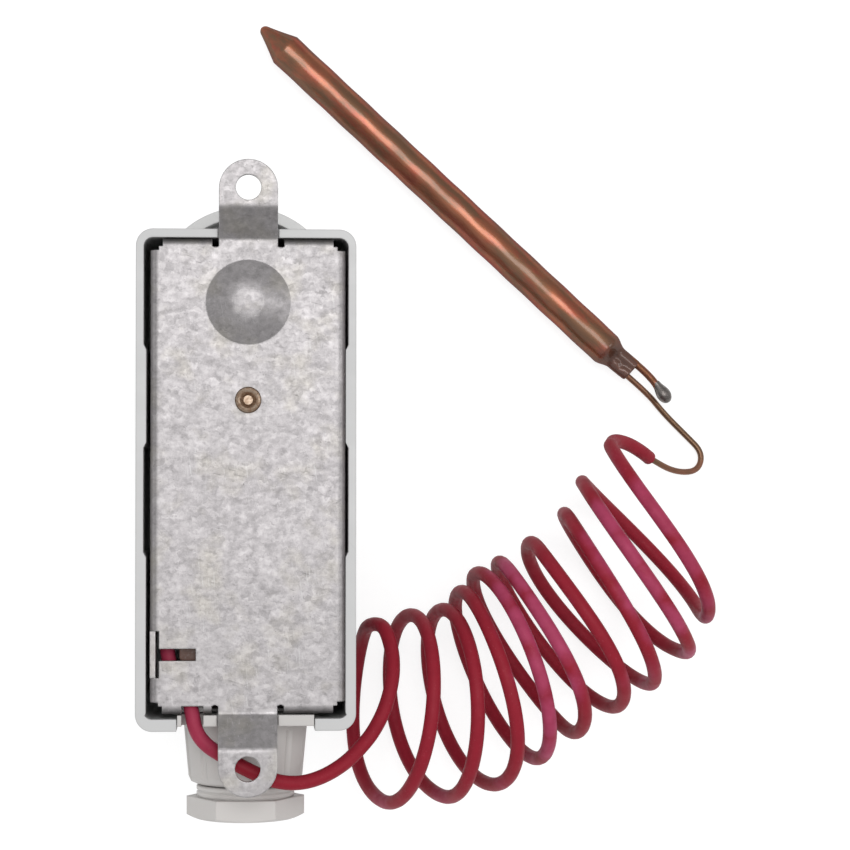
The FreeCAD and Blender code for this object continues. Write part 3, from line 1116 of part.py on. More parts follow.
def terminal_screws():
    """Slotted screws in the clamps, one a terminal."""
    screws = []
    y = CLAMP_Y + CLAMP_LENGTH / 2
    seat_z = CLAMP_FACE_Z - TERMINAL_SCREW_LIFT
    top_z = seat_z - TERMINAL_HEAD
    reach = 2 * TERMINAL_HEAD_RADIUS
    for i in range(TERMINALS):
        x = terminal_x(i)
        shank = Part.makeCylinder(TERMINAL_SCREW_RADIUS - PRESSED, TERMINAL_SCREW_LENGTH, V(x, y, seat_z))
        head = Part.makeCylinder(TERMINAL_HEAD_RADIUS, TERMINAL_HEAD, V(x, y, top_z))
        slot = box(x - reach, x + reach, y - SCREW_SLOT / 2, y + SCREW_SLOT / 2,
                   top_z - 1, top_z + SCREW_SLOT_DEPTH)
        screws.append(shank.fuse(head).cut(slot))
    return Part.makeCompound(screws)


def contact_strips():
    """Flat brass links from the switch to the clamps."""
    links = []
    z1 = STRIP_FRONT_Z + BAY_DEPTH / 2
    z0 = z1 - LINK_THICK
    half = LINK_WIDTH / 2
    turn_y = (STRIP_TO_Y + SWITCH_FROM_Y) / 2
    inner = FRAME_HALF - LINK_INSET
    for i in range(TERMINALS):
        x = terminal_x(i)
        x_in = max(-inner, min(inner, x))
        lower = box(x - half, x + half, CLAMP_Y + CLAMP_LENGTH, turn_y + half, z0, z1)
        across = box(min(x, x_in) - half, max(x, x_in) + half, turn_y - half, turn_y + half, z0, z1)
        upper = box(x_in - half, x_in + half, turn_y - half, SWITCH_FROM_Y, z0, z1)
        links.append(fuse_all([lower, across, upper]))
    return Part.makeCompound(links)


def earth_screw():
    """Earth terminal screw with a square washer under its head, on the left frame wall."""
    seat = V(-FRAME_HALF, EARTH_SCREW_Y, EARTH_SCREW_Z)
    half = EARTH_WASHER_WIDTH / 2
    top_x = -FRAME_HALF - EARTH_WASHER - EARTH_HEAD
    screw = rod(EARTH_SCREW_RADIUS - PRESSED, seat - V(EARTH_WASHER, 0, 0), seat + V(EARTH_SCREW_INSIDE, 0, 0))
    washer = box(-FRAME_HALF - EARTH_WASHER, -FRAME_HALF, EARTH_SCREW_Y - half, EARTH_SCREW_Y + half,
                 EARTH_SCREW_Z - half, EARTH_SCREW_Z + half)
    head = rod(EARTH_HEAD_RADIUS, seat - V(EARTH_WASHER, 0, 0), V(top_x, EARTH_SCREW_Y, EARTH_SCREW_Z))
    slot = box(top_x - 1, top_x + SCREW_SLOT_DEPTH, EARTH_SCREW_Y - EARTH_WASHER_WIDTH,
               EARTH_SCREW_Y + EARTH_WASHER_WIDTH, EARTH_SCREW_Z - SCREW_SLOT / 2, EARTH_SCREW_Z + SCREW_SLOT / 2)
    return fuse_all([screw, washer, head]).cut(slot)


# Cable gland

def gland_body():
    """Slide-in plate, ribbed cone and threaded stub, moulded in one piece round a bore."""
    half = INSERT_WIDTH / 2

    def shield(radius, y0, y1, top_z):
        block = box(COVER_X - radius, COVER_X + radius, y0, y1, GLAND_Z, top_z)
        keep = box(COVER_X - radius, COVER_X + radius, y0, y1, GLAND_Z - radius, top_z)
        disc = Part.makeCylinder(radius, y1 - y0, V(COVER_X, y0, GLAND_Z), Y_AXIS)
        return block.fuse(disc.common(keep))

    plate = shield(half, INSERT_OUT_Y, INSERT_IN_Y, BACK_Z)
    lip_top_z = BACK_Z - END_FLANGE - INSERT_LIP_CLEAR
    lip_y = COVER_BOTTOM_Y + BOTTOM_WALL + FIT
    lip = shield(half + INSERT_LIP, lip_y, lip_y + INSERT_LIP_THICK, lip_top_z)
    cone = revolve_y([
        (0, INSERT_OUT_Y + 0.5), (CONE_RADIUS_IN, INSERT_OUT_Y + 0.5),
        (CONE_RADIUS_OUT, CONE_END_Y + CONE_ROUND),
        (CONE_RADIUS_OUT - CONE_ROUND * 0.3, CONE_END_Y + CONE_ROUND * 0.3),
        (CONE_RADIUS_OUT - CONE_ROUND, CONE_END_Y), (STUB_RADIUS, CONE_END_Y),
        (STUB_RADIUS, STUB_END_Y + STUB_CHAMFER), (STUB_RADIUS - STUB_CHAMFER, STUB_END_Y),
        (0, STUB_END_Y)], COVER_X, GLAND_Z)
    grooves = []
    slope = math.atan((CONE_RADIUS_IN - CONE_RADIUS_OUT) / (INSERT_OUT_Y - CONE_END_Y))
    for i in range(CONE_RIBS):
        angle = 2 * math.pi * (i + 0.5) / CONE_RIBS
        direction = V(math.cos(angle), 0, math.sin(angle))
        centre = V(COVER_X, INSERT_OUT_Y - RIB_INSET, GLAND_Z)
        start = centre + direction * (CONE_RADIUS_IN + RIB_RADIUS - RIB_SINK)
        run = V(0, -1, 0) * math.cos(slope) - direction * math.sin(slope)
        grooves.append(rod(RIB_RADIUS, start, start + run * (CONE_LENGTH + 2)))
    cone = cone.cut(Part.makeCompound(grooves))
    body = fuse_all([plate, lip, cone])
    start = V(COVER_X, STUB_END_Y - 1, GLAND_Z)
    body = body.cut(Part.makeCylinder(GLAND_BORE_RADIUS, 2 * (CONE_LENGTH + STUB_LENGTH), start, Y_AXIS))
    body = body.cut(Part.makeCylinder(SEAL_SEAT_RADIUS, SEAL_LENGTH - SEAL_PROUD + 1, start, Y_AXIS))

    # notches for the ear and for the sleeve in the plate's back edge
    ear_half = EAR_WIDTH / 2 + EAR_NOTCH_CLEAR
    deep = BACK_Z - SHEET - EAR_NOTCH_CLEAR
    body = body.cut(box(-ear_half, ear_half, INSERT_OUT_Y - 1, INSERT_IN_Y + 1, deep, BACK_Z + 1))
    notch = SLEEVE_RADIUS + SLEEVE_ROOM
    groove = box(SLEEVE_EXIT_X - notch, SLEEVE_EXIT_X + notch, INSERT_OUT_Y - 2, INSERT_IN_Y + 1,
                 SLEEVE_EXIT_Z, BACK_Z + 1)
    groove = groove.fuse(rod(notch, V(SLEEVE_EXIT_X, INSERT_OUT_Y - 2, SLEEVE_EXIT_Z),
                             V(SLEEVE_EXIT_X, INSERT_IN_Y + 1, SLEEVE_EXIT_Z)))
    return body.cut(groove).removeSplitter()


def gland_seal():
    """Rubber ring that the nut presses round the cable."""
    y0 = STUB_END_Y - SEAL_PROUD
    y1 = y0 + SEAL_LENGTH
    return revolve_y([(SEAL_BORE_RADIUS, y0), (SEAL_RADIUS - SEAL_TAPER, y0), (SEAL_RADIUS, STUB_END_Y + FIT),
                      (SEAL_RADIUS, y1), (SEAL_BORE_RADIUS, y1)], COVER_X, GLAND_Z)


def gland_nut():
    """Hexagonal nut with two rounded collars behind the hexagon and a chamfered mouth."""
    hex_start_y = NUT_START_Y - NUT_RINGS * NUT_RING_PITCH
    rings = []
    for i in range(NUT_RINGS):
        y0 = NUT_START_Y - i * NUT_RING_PITCH
        y1 = y0 - NUT_RING_PITCH
        edge = NUT_RING_PITCH * 0.25
        rings.append(revolve_y([(0, y0), (NUT_RING_RADIUS - edge, y0), (NUT_RING_RADIUS, y0 - edge),
                                (NUT_RING_RADIUS, y1 + edge), (NUT_RING_RADIUS - edge, y1), (0, y1)],
                               COVER_X, GLAND_Z))
    hexagon = hexagon_y(NUT_FLATS, COVER_X, GLAND_Z, NUT_END_Y, hex_start_y)
    corner = NUT_FLATS / math.sqrt(3)
    turning = revolve_y([(0, hex_start_y), (corner, hex_start_y), (corner, NUT_END_Y + NUT_CHAMFER),
                         (NUT_FLATS / 2 - NUT_CHAMFER / 2, NUT_END_Y), (0, NUT_END_Y)], COVER_X, GLAND_Z)
    nut = fuse_all(rings + [hexagon.common(turning)])
    room_y = STUB_END_Y - NUT_GAP
    thread_length = NUT_START_Y - room_y
    bore = Part.makeCylinder(STUB_RADIUS + THREAD_CLEAR, thread_length,
                             V(COVER_X, NUT_START_Y - thread_length, GLAND_Z), Y_AXIS)
    seal_end_y = STUB_END_Y - SEAL_PROUD - FIT
    seal_room = revolve_y([
        (0, room_y), (SEAL_RADIUS, room_y), (SEAL_RADIUS - SEAL_TAPER + FIT, seal_end_y),
        (0, seal_end_y)], COVER_X, GLAND_Z)
    hole = Part.makeCylinder(NUT_HOLE_RADIUS, NUT_LENGTH + 2, V(COVER_X, NUT_END_Y - 1, GLAND_Z), Y_AXIS)
    return nut.cut(bore).cut(seal_room).cut(hole)


# Sensing bulb

def bulb_frame(shape):
    """Lay a shape made along +X onto the bulb's place on the surface."""
    shape.rotate(V(0, 0, 0), Z_AXIS, BULB_AXIS_DEG)
    shape.translate(V(BULB_TIP[0], BULB_TIP[1], BULB_Z))
    return shape


def bulb():
    """Drawn copper tube: spun to a point at one end, crimped flat at the other."""
    tip = BULB_TIP_RADIUS
    profile = [
        V(0, 0, 0), V(tip * 0.35, tip * 0.75, 0), V(tip * 1.15, tip * 1.25, 0),
        V(BULB_CONE - BULB_SHOULDER, BULB_RADIUS * 0.93, 0), V(BULB_CONE + BULB_SHOULDER, BULB_RADIUS, 0),
        V(NECK_START, BULB_RADIUS, 0), V(NECK_START, 0, 0),
    ]
    body = Part.Face(Part.makePolygon(profile + [profile[0]])).revolve(V(0, 0, 0), X_AXIS, 360)

    def section(x, width, height):
        """Oval across the bulb's axis, as wide as the crimp gets there."""
        arc_radius = height / 2
        flat = width / 2 - arc_radius
        top = V(x, -flat, arc_radius)
        right = V(x, flat, arc_radius)
        low_right = V(x, flat, -arc_radius)
        low_left = V(x, -flat, -arc_radius)
        edges = [
            Part.LineSegment(top, right).toShape(),
            Part.Arc(right, V(x, width / 2, 0), low_right).toShape(),
            Part.LineSegment(low_right, low_left).toShape(),
            Part.Arc(low_left, V(x, -width / 2, 0), top).toShape(),
        ]
        return Part.Wire(edges)

    full = 2 * BULB_RADIUS
    stations = [
        section(NECK_START - PRESSED, full - 2 * PRESSED, full * 0.95),
        section(NECK_START + CRIMP_LENGTH * 0.23, CRIMP_WIDTH * 1.2, CRIMP_THICK * 1.33),
        section(NECK_START + CRIMP_LENGTH * 0.43, CRIMP_WIDTH, CRIMP_THICK),
        section(NECK_START + CRIMP_LENGTH, CRIMP_WIDTH, CRIMP_THICK),
    ]
    neck = Part.makeLoft(stations, True, True)
    body = body.fuse(neck)
    mouth = V(CRIMP_MOUTH + 1, 0, 0)
    for side, radius in ((1, FILL_TUBE_RADIUS), (-1, CAPILLARY_RADIUS)):
        start = V(LOBE_START, side * LOBE_OFFSET, 0)
        body = body.cut(rod(radius, start, start + mouth))
    cleft = V(LOBE_START, 0, CRIMP_THICK / 2 + CRIMP_CLEFT / 3)
    return bulb_frame(body.cut(rod(CRIMP_CLEFT, cleft, cleft + mouth)))


def fill_tube():
    """Short tube from the crimp, through which the bulb was filled."""
    start = V(LOBE_START, LOBE_OFFSET, 0)
    points = [start, start + FILL_TUBE_BEND, start + FILL_TUBE_END]
    return bulb_frame(tube_along(points, FILL_TUBE_RADIUS, cord_radii("fill tube", points)))


def solder_bead():
    """Bead of solder that closes the fill tube: a round drop, fuller at its far end."""
    end = V(LOBE_START, LOBE_OFFSET, 0) + FILL_TUBE_END
    along = (FILL_TUBE_END - FILL_TUBE_BEND).normalize()
    steps = 8
    profile = [V(0, 0, 0)]
    for i in range(1, steps):
        t = i / steps
        radius = SOLDER_RADIUS * math.sin(math.pi * t) ** 0.75 * (0.82 + 0.25 * t)
        profile.append(V(SOLDER_LENGTH * t, radius, 0))
    profile.append(V(SOLDER_LENGTH, 0, 0))
    bead = Part.Face(Part.makePolygon(profile + [profile[0]])).revolve(V(0, 0, 0), X_AXIS, 360)
    bead.Placement = FreeCAD.Placement(end, FreeCAD.Rotation(X_AXIS, along))
    return bulb_frame(bead)


# Capillary and its sleeve

def capillary_sleeve():
    """Sleeved lead from inside the housing, out past the gland and under the ear, to the coil."""
    return tube_along(SLEEVE_ROUTE, SLEEVE_RADIUS, cord_radii("sleeve", SLEEVE_ROUTE))


def sleeve_coil():
    """Outer shape of the loose coil: rings of one size that lean and turn along its length."""
    rings = []
    for x, y, turn_deg, lean_deg in COIL_STATIONS:
        turn = math.radians(turn_deg)
        lean = math.radians(lean_deg)
        across = V(math.cos(turn), math.sin(turn), 0)
        normal = V(across.x * math.cos(lean), across.y * math.cos(lean), -math.sin(lean))
        height = FLOOR_Z + COIL_OUTER_RADIUS * math.cos(lean)
        circle = Part.Circle(V(x, y, height), normal, COIL_OUTER_RADIUS).toShape()
        rings.append(Part.Wire([circle]))
    return Part.makeLoft(rings, True, True)


def sleeve_end():
    """Last stretch of the sleeve, from the coil to where the bare capillary leaves it."""
    return tube_along(SLEEVE_END_ROUTE, SLEEVE_RADIUS, cord_radii("sleeve end", SLEEVE_END_ROUTE))


def lobe_point(along, side):
    """Point on the axis of one of the two tubes in the bulb's crimp."""
    angle = math.radians(BULB_AXIS_DEG)
    x = LOBE_START + along
    y = side * LOBE_OFFSET
    return V(BULB_TIP[0] + x * math.cos(angle) - y * math.sin(angle),
             BULB_TIP[1] + x * math.sin(angle) + y * math.cos(angle), BULB_Z)


def capillary_tail():
    """Bare capillary from the sleeve's end in a loose bend to the bulb."""
    points = TAIL_ROUTE + [lobe_point(0, -1)]
    return tube_along(points, CAPILLARY_RADIUS, cord_radii("tail", points))


def inner_capillary():
    """Bare capillary inside the housing, from the capsule's edge to the sleeve."""
    return tube_along(INNER_ROUTE, CAPILLARY_RADIUS, cord_radii("inner capillary", INNER_ROUTE))


def main():
    os.makedirs("parts", exist_ok=True)
    makers = (
        cover, cover_post, cover_screw, base_plate, base_rivet, knob, spindle, spindle_clip, spindle_bush,
        spring_seat, range_spring, mechanism_frame, frame_bridge, diaphragm_capsule, capsule_button, lever,
        lever_pin, switch_body, switch_plunger, switch_screws, terminal_strip, terminal_clamps,
        terminal_screws, contact_strips, earth_screw, gland_body, gland_seal, gland_nut, capillary_sleeve,
        sleeve_coil, sleeve_end, capillary_tail, inner_capillary, bulb, fill_tube, solder_bead,
    )
    for maker in makers:
        shape = maker()
        shape.exportStep("parts/%s.step" % maker.__name__)
        print("%-18s solids %d, volume %.1f, valid %s" % (
            maker.__name__, len(shape.Solids), shape.Volume, shape.isValid()))


main()
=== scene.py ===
import math

import bmesh
import bpy
import numpy as np
from mathutils import Euler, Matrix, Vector


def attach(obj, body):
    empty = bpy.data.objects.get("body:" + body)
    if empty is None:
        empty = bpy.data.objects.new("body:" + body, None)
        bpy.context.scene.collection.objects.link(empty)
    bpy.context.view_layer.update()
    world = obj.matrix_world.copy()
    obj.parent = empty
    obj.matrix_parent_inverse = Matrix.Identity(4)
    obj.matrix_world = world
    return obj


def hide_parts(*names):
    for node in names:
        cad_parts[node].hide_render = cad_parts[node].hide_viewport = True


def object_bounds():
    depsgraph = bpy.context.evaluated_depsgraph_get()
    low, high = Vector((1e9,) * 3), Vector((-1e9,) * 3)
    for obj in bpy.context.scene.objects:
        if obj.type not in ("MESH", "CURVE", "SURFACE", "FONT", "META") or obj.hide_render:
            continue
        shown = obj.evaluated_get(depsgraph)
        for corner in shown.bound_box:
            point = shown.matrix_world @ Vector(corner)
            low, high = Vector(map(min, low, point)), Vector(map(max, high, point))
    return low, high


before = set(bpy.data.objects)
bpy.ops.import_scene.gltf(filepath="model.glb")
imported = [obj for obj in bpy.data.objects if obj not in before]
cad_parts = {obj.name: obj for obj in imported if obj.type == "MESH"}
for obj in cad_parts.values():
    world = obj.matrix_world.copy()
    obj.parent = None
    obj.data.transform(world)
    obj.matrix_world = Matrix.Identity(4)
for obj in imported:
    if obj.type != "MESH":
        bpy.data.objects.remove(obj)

CAD_BOX = [list(corner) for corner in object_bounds()]

bl_info = {
    "name": "Strap-on thermostat with a remote bulb",
    "version": (1, 0, 0),
    "blender": (4, 5, 0),
    "location": "View3D > Sidebar > Thermostat",
    "description": "Dresses the packed thermostat: capillary, bulb, sheet metal, plastics and studio",
    "category": "Object",
}

MM = 0.001


# Routes and places

# The cords' routes, metres: the sleeve up to the coil, the sleeve after it, and the bare capillary.
SLEEVE_ROUTE = [
    (-0.0147, -0.0220, -0.0083), (-0.0153, -0.0342, -0.0073), (-0.0106, -0.0398, -0.0061),
    (-0.0101, -0.0430, -0.0052), (-0.0094, -0.0462, -0.0048), (-0.0075, -0.0487, -0.0047),
    (-0.0042, -0.0507, -0.0047), (0.0000, -0.0532, -0.0047), (0.0050, -0.0554, -0.0052),
    (0.0096, -0.0559, -0.0062), (0.0140, -0.0548, -0.0077), (0.0181, -0.0525, -0.0096),
    (0.0209, -0.0499, -0.0113), (0.0233, -0.0472, -0.0126), (0.0256, -0.0430, -0.0142),
    (0.0270, -0.0382, -0.0160), (0.0273, -0.0345, -0.0183), (0.0269, -0.0313, -0.0208),
    (0.0257, -0.0279, -0.0235),
]
END_ROUTE = [
    (0.0697, 0.0062, -0.0266), (0.0705, 0.0071, -0.0296), (0.0734, 0.0067, -0.0328),
    (0.0769, 0.0050, -0.0356), (0.0788, 0.0037, -0.0381),
]
TAIL_ROUTE = [
    (0.0775, 0.0045, -0.0369), (0.0788, 0.0037, -0.0381), (0.0844, 0.0009, -0.0424),
    (0.0897, 0.0010, -0.0454), (0.0909, 0.0048, -0.0464), (0.0873, 0.0084, -0.0466),
    (0.0828, 0.0128, -0.0462), (0.0794, 0.0168, -0.0450), (0.0737, 0.0214, -0.0439),
]
# Plan of the coil: where each turn stands on its near and its far side, millimetres.
COIL_TOPS = np.array([
    (23.6, -28.3), (31.6, -26.3), (37.6, -25.3), (41.1, -21.9), (44.1, -18.4),
    (48.4, -16.3), (54.6, -12.4), (61.0, -7.0), (64.4, -1.0), (69.6, 6.3),
])
COIL_FEET = np.array([
    (26.4, -62.0), (38.0, -61.1), (46.9, -58.9), (55.3, -54.0), (62.4, -49.2),
    (70.4, -44.2), (77.3, -39.8), (84.6, -33.6), (87.5, -27.3),
])
# How far each half turn bows sideways, and how its bow leans, millimetres.
UNDER_BOWS = np.array([
    (-4.2, 1.1), (-6.5, 0.4), (-5.7, 0.3), (-3.7, 0.1), (-2.4, -0.4),
    (-2.8, 0.4), (-3.1, -0.3), (-1.75, 0.9), (2.7, -0.6),
])
OVER_BOWS = np.array([
    (5.1, -0.1), (4.9, 0.0), (4.8, -1.0), (4.2, -0.2), (2.9, -1.1),
    (2.1, -1.2), (0.5, -0.8), (-0.9, -0.6), (0.2, -1.3),
])
# The coil's axis above the ears' wall face and the radius of its turns, millimetres.
COIL_HEIGHT = -28.45
COIL_RADIUS = 17.35
POINTS_PER_TURN = 16

# Stretches of painted pink sheen, most on the upper turns: how strongly, and the points they pass through,
# millimetres.
PINK_SHEEN_STRETCHES = (
    (1.0, ((48.8, -15.6, -20), (50.8, -17.2, -14), (54.2, -24.5, -11), (56.7, -31.0, -12),
           (59.5, -38.0, -15))),
    (0.9, ((47.0, -20.5, -14), (51.0, -27.3, -12), (53.6, -35.6, -11), (55.9, -45.0, -13),
           (57.0, -50.0, -20))),
    (0.9, ((66.0, -8.5, -14), (69.1, -14.3, -12), (73.2, -20.8, -11), (78.0, -27.3, -12),
           (83.4, -33.2, -24))),
    (0.7, ((75.0, -3.5, -13), (77.3, -7.8, -11), (80.8, -15.3, -12), (84.4, -21.1, -18),
           (86.6, -25.5, -24))),
    (0.5, ((50.3, -55.6, -24), (52.0, -54.5, -28))),
    (0.4, ((70.3, -0.1, -20), (73.0, -36.0, -18), (77.0, -39.5, -27))),
    (0.45, ((-14.6, -32.5, -7), (-9.8, -45.2, -4.7), (-9.0, -48.8, -4.7))),
    (0.35, ((27.0, -62.4, -28), (37.7, -61.2, -28))),
)
# How far the painted sheen reaches from those points, how full it stays near them, and how ragged its edge
# is.
PINK_SHEEN_REACH = 6.0
PINK_SHEEN_FULL = 0.4
PINK_SHEEN_RAGGED = 6.0
# The boss pressed into the plate: x, y, radius of its flat top, half the ring that is rounded, its slope.
BOSS_DOME = (0.0, 31.9, 2.8, 2.2, 0.404)

# Fill tube and solder bead: along the bulb from its tip, across it and above its axis, millimetres.
FILL_TUBE_ROUTE = np.array([(96.0, 1.6, 0.0), (103.3, 2.3, 0.15), (105.8, 1.35, 0.3)])
FILL_TUBE_RADIUS = 0.75
SOLDER_AXIS = np.array([(104.9, 1.75, 0.25), (109.5, 0.75, 0.45)])
SOLDER_NECK = 0.80
SOLDER_RADIUS = 1.40
# The share of the bead's length at which it is widest.
SOLDER_WIDEST = 0.60

# The two soft panels, what they are aimed at, and the sides of their squares, metres.
PANEL_AIM = Vector((0.03, 0.0, -0.02))
OVERHEAD_PLACE = Vector((0.05, 0.22, 1.05))
OVERHEAD_SIDE = 0.60
SIDE_PANEL_PLACE = Vector((0.82, 0.06, 0.76))
SIDE_PANEL_SIDE = 0.46


def half_turn(start, end, bow, lean, rise):
    """Points of one half turn: the cosine carries the plan from start to end, the sine lifts it by rise
    and bows it sideways, and the sine of twice the angle leans the bow towards one end."""
    count = POINTS_PER_TURN // 2
    angle = (np.arange(count) + 0.5) * math.pi / count
    reach = 1.0 / math.cos(math.pi / POINTS_PER_TURN)
    along = (end - start) / np.hypot(*(end - start))
    across = np.array([-along[1], along[0]])
    across = across if across[0] > 0 else -across
    plan = (start + end) / 2 + np.outer(np.cos(angle) * reach, (start - end) / 2)
    plan = plan + np.outer(bow * np.sin(angle) + lean * np.sin(2 * angle), across)
    height = COIL_HEIGHT + rise * np.sin(angle) * reach
    return np.column_stack([plan, height])


def coil_points():
    """The coil's route: every turn goes down its far side under the coil, and comes back over the top to
    the start of the next turn."""
    parts = []
    for turn, foot in enumerate(COIL_FEET):
        under = half_turn(COIL_TOPS[turn], foot, *UNDER_BOWS[turn], -COIL_RADIUS)
        over = half_turn(COIL_TOPS[turn + 1], foot, *OVER_BOWS[turn], COIL_RADIUS)
        parts += [under, over[::-1]]
    return np.vstack(parts) * MM


# Sizes and colours

def length(name, text, value):
    return bpy.props.FloatProperty(name=name, description=text, default=value, unit="LENGTH", precision=5)


def colour(name, text, value):
    return bpy.props.FloatVectorProperty(
        name=name, description=text, default=value, subtype="COLOR", size=3, min=0.0, max=1.0)


def amount(name, text, value, low=0.0, high=1.0):
    return bpy.props.FloatProperty(name=name, description=text, default=value, min=low, max=high)


class StudioSettings(bpy.types.PropertyGroup):
    """Camera, lamps and floor."""
    camera_place: bpy.props.FloatVectorProperty(
        name="Camera place", description="Where the camera stands", default=(-0.00135, 0.00235, 0.4817),
        subtype="TRANSLATION", unit="LENGTH", precision=5)
    camera_turn: bpy.props.FloatVectorProperty(
        name="Camera turn", description="How the camera is turned from looking straight down",
        default=(math.radians(0.8525), math.radians(-3.957), math.radians(0.032)), subtype="EULER")
    lens: bpy.props.FloatProperty(
        name="Lens", description="Focal length on a 36 mm sensor", default=112.88, unit="CAMERA")
    floor_size: length("Floor size", "Side of the square floor", 8.0)
    overhead_light: amount("Overhead light", "Radiance of the panel above the camera", 3.85, high=10.0)
    side_light: amount("Side light", "Radiance of the panel at the right", 2.8, high=10.0)
    room_light: amount("Room light", "Mean radiance of the room round the table", 0.68, high=2.0)


class SleeveSettings(bpy.types.PropertyGroup):
    """The silicone sleeve over the capillary."""
    diameter: length("Diameter", "Outer diameter of the sleeve", 0.0027)
    # Red is the silicone's own colour; the pink is painted sheen, laid on the upper turns where their sides
    # face the lamps.
    red: colour("Red", "Silicone where the light doesn't bleach it", (0.262, 0.0125, 0.0260))
    painted_sheen_pink: colour("Pink", "Bloomed silicone on the upper turns", (0.385, 0.052, 0.120))


class CapillarySettings(bpy.types.PropertyGroup):
    """The bare capillary between sleeve and bulb."""
    diameter: length("Diameter", "Outer diameter of the capillary", 0.0012)


class BulbSettings(bpy.types.PropertyGroup):
    """The sensing bulb."""
    tip: bpy.props.FloatVectorProperty(
        name="Tip", description="The swaged nose of the bulb", default=(0.00263, 0.08854, -0.0439),
        subtype="TRANSLATION", unit="LENGTH", precision=5)
    turn: bpy.props.FloatProperty(
        name="Turn", description="Direction from the nose to the crimp", default=math.radians(-42.7),
        unit="ROTATION")
    radius: length("Radius", "Outer radius of the bulb", 0.0034)
    nose: length("Nose", "Length of the swaged cone", 0.0064)
    body: length("Body", "Length of the straight tube", 0.0865)
    crimp: length("Crimp", "Length of the crimped end", 0.0070)
    crimp_half_width: length("Crimp half width", "Half the width across both lobes", 0.00240)
    crimp_half_thickness: length("Crimp half thickness", "Half the thickness of the lobes", 0.0012)
    copper: colour("Copper", "Bare copper", (0.280, 0.090, 0.040))
    heat_brown: colour("Heat brown", "Copper browned by brazing", (0.165, 0.078, 0.038))
    tube_red: colour("Tube red", "Reddened copper of the fill tube", (0.215, 0.085, 0.060))
    char: colour("Char", "Oxide on the crimped end", (0.120, 0.060, 0.045))
    nose_tip: length("Nose tip", "Radius of the rounded nose", 0.00075)
    end_round: length("End rounding", "Radius round the edge of the crimped end", 0.0003)
    heat_red: colour("Heat red", "Copper reddened by brazing", (0.270, 0.064, 0.032))


class FinishSettings(bpy.types.PropertyGroup):
    """Colours of the metals and plastics."""
    zinc: colour("Zinc", "Galvanised sheet", (0.362, 0.346, 0.350))
    zinc_warm: colour("Warm zinc", "Stained patches of the sheet", (0.362, 0.342, 0.308))
    cover: colour("Cover", "Light grey cover moulding", (0.520, 0.520, 0.520))
    gland: colour("Gland", "Warm grey gland moulding", (0.520, 0.500, 0.485))
    nut: colour("Nut", "Warm grey gland nut", (0.570, 0.548, 0.530))
    knob: colour("Knob", "White knob moulding", (0.62, 0.62, 0.615))
    brass: colour("Brass", "Tarnished brass of the rivet", (0.33, 0.255, 0.195))
    capillary: colour("Capillary", "Brown bare capillary", (0.165, 0.100, 0.062))
    capillary_red: colour("Red capillary", "Reddened stretches of the capillary", (0.265, 0.120, 0.080))
    solder: colour("Solder", "Dull solder", (0.190, 0.172, 0.162))
    plating: colour("Plating", "Plated steel", (0.58, 0.57, 0.55))
    rubber: colour("Rubber", "Gland seal", (0.025, 0.025, 0.027))
    switch_case: colour("Switch case", "Dark switch moulding", (0.030, 0.028, 0.028))
    moulding: colour("Brown moulding", "Terminal strip", (0.10, 0.035, 0.018))
    plunger: colour("Plunger", "Switch plunger", (0.55, 0.50, 0.38))
    brass_stain: colour("Brass stain", "Brown tarnish on the brass", (0.20, 0.12, 0.075))
    plating_stain: colour("Plating stain", "Dull patches of the plated steel", (0.36, 0.35, 0.33))
    inner_copper: colour("Inner copper", "Clean copper inside the housing", (0.50, 0.205, 0.115))
    inner_stain: colour("Inner stain", "Tarnish on the copper inside", (0.24, 0.115, 0.06))


# Node building

class Net:
    """One node tree being filled: makes nodes, sets their inputs and joins them."""

    def __init__(self, tree):
        self.tree = tree

    def node(self, kind, values=None, **settings):
        made = self.tree.nodes.new(kind)
        for key, value in settings.items():
            setattr(made, key, value)
        for key, value in (values or {}).items():
            self.give(made.inputs[key], value)
        return made

    def give(self, socket, value):
        if isinstance(value, bpy.types.NodeSocket):
            self.tree.links.new(value, socket)
        elif isinstance(value, bpy.types.Node):
            self.tree.links.new(value.outputs[0], socket)
        else:
            socket.default_value = value

    def math(self, operation, first, second=0.0, clamp=False):
        made = self.node("ShaderNodeMath", operation=operation, use_clamp=clamp)
        self.give(made.inputs[0], first)
        self.give(made.inputs[1], second)
        return made.outputs[0]

    def ramp(self, value, from_low, from_high, low, high, smooth=False):
        kind = "SMOOTHSTEP" if smooth else "LINEAR"
        made = self.node("ShaderNodeMapRange", {
            "Value": value, "From Min": from_low, "From Max": from_high, "To Min": low, "To Max": high},
            interpolation_type=kind, clamp=True)
        return made.outputs[0]

    def mix(self, share, first, second, blend="MIX"):
        made = self.node("ShaderNodeMix", data_type="RGBA", blend_type=blend, clamp_factor=True)
        self.give(made.inputs[0], share)
        self.give(made.inputs[6], first)
        self.give(made.inputs[7], second)
        return made.outputs[2]

    def noise(self, vector, scale, detail=2.0, roughness=0.5):
        made = self.node("ShaderNodeTexNoise", {
            "Vector": vector, "Scale": scale, "Detail": detail, "Roughness": roughness},
            noise_dimensions="3D")
        return made.outputs[0]

    def stretch(self, vector, turn, scale):
        made = self.node("ShaderNodeMapping", {
            "Vector": vector, "Rotation": turn, "Scale": scale}, vector_type="POINT")
        return made.outputs[0]

    def vector(self, operation, first, second):
        made = self.node("ShaderNodeVectorMath", {0: first, 1: second}, operation=operation)
        return made.outputs["Value" if operation in ("DOT_PRODUCT", "DISTANCE") else "Vector"]

    def scaled(self, vector, scale):
        made = self.node("ShaderNodeVectorMath", {0: vector, "Scale": scale}, operation="SCALE")
        return made.outputs["Vector"]

    def place(self):
        return self.node("ShaderNodeTexCoord").outputs["Object"]

    def group(self, tree, **values):
        made = self.node("ShaderNodeGroup", node_tree=tree)
        for key, value in values.items():
            self.give(made.inputs[key.replace("_", " ")], value)
        return made


def rgba(value):
    return (value[0], value[1], value[2], 1.0)


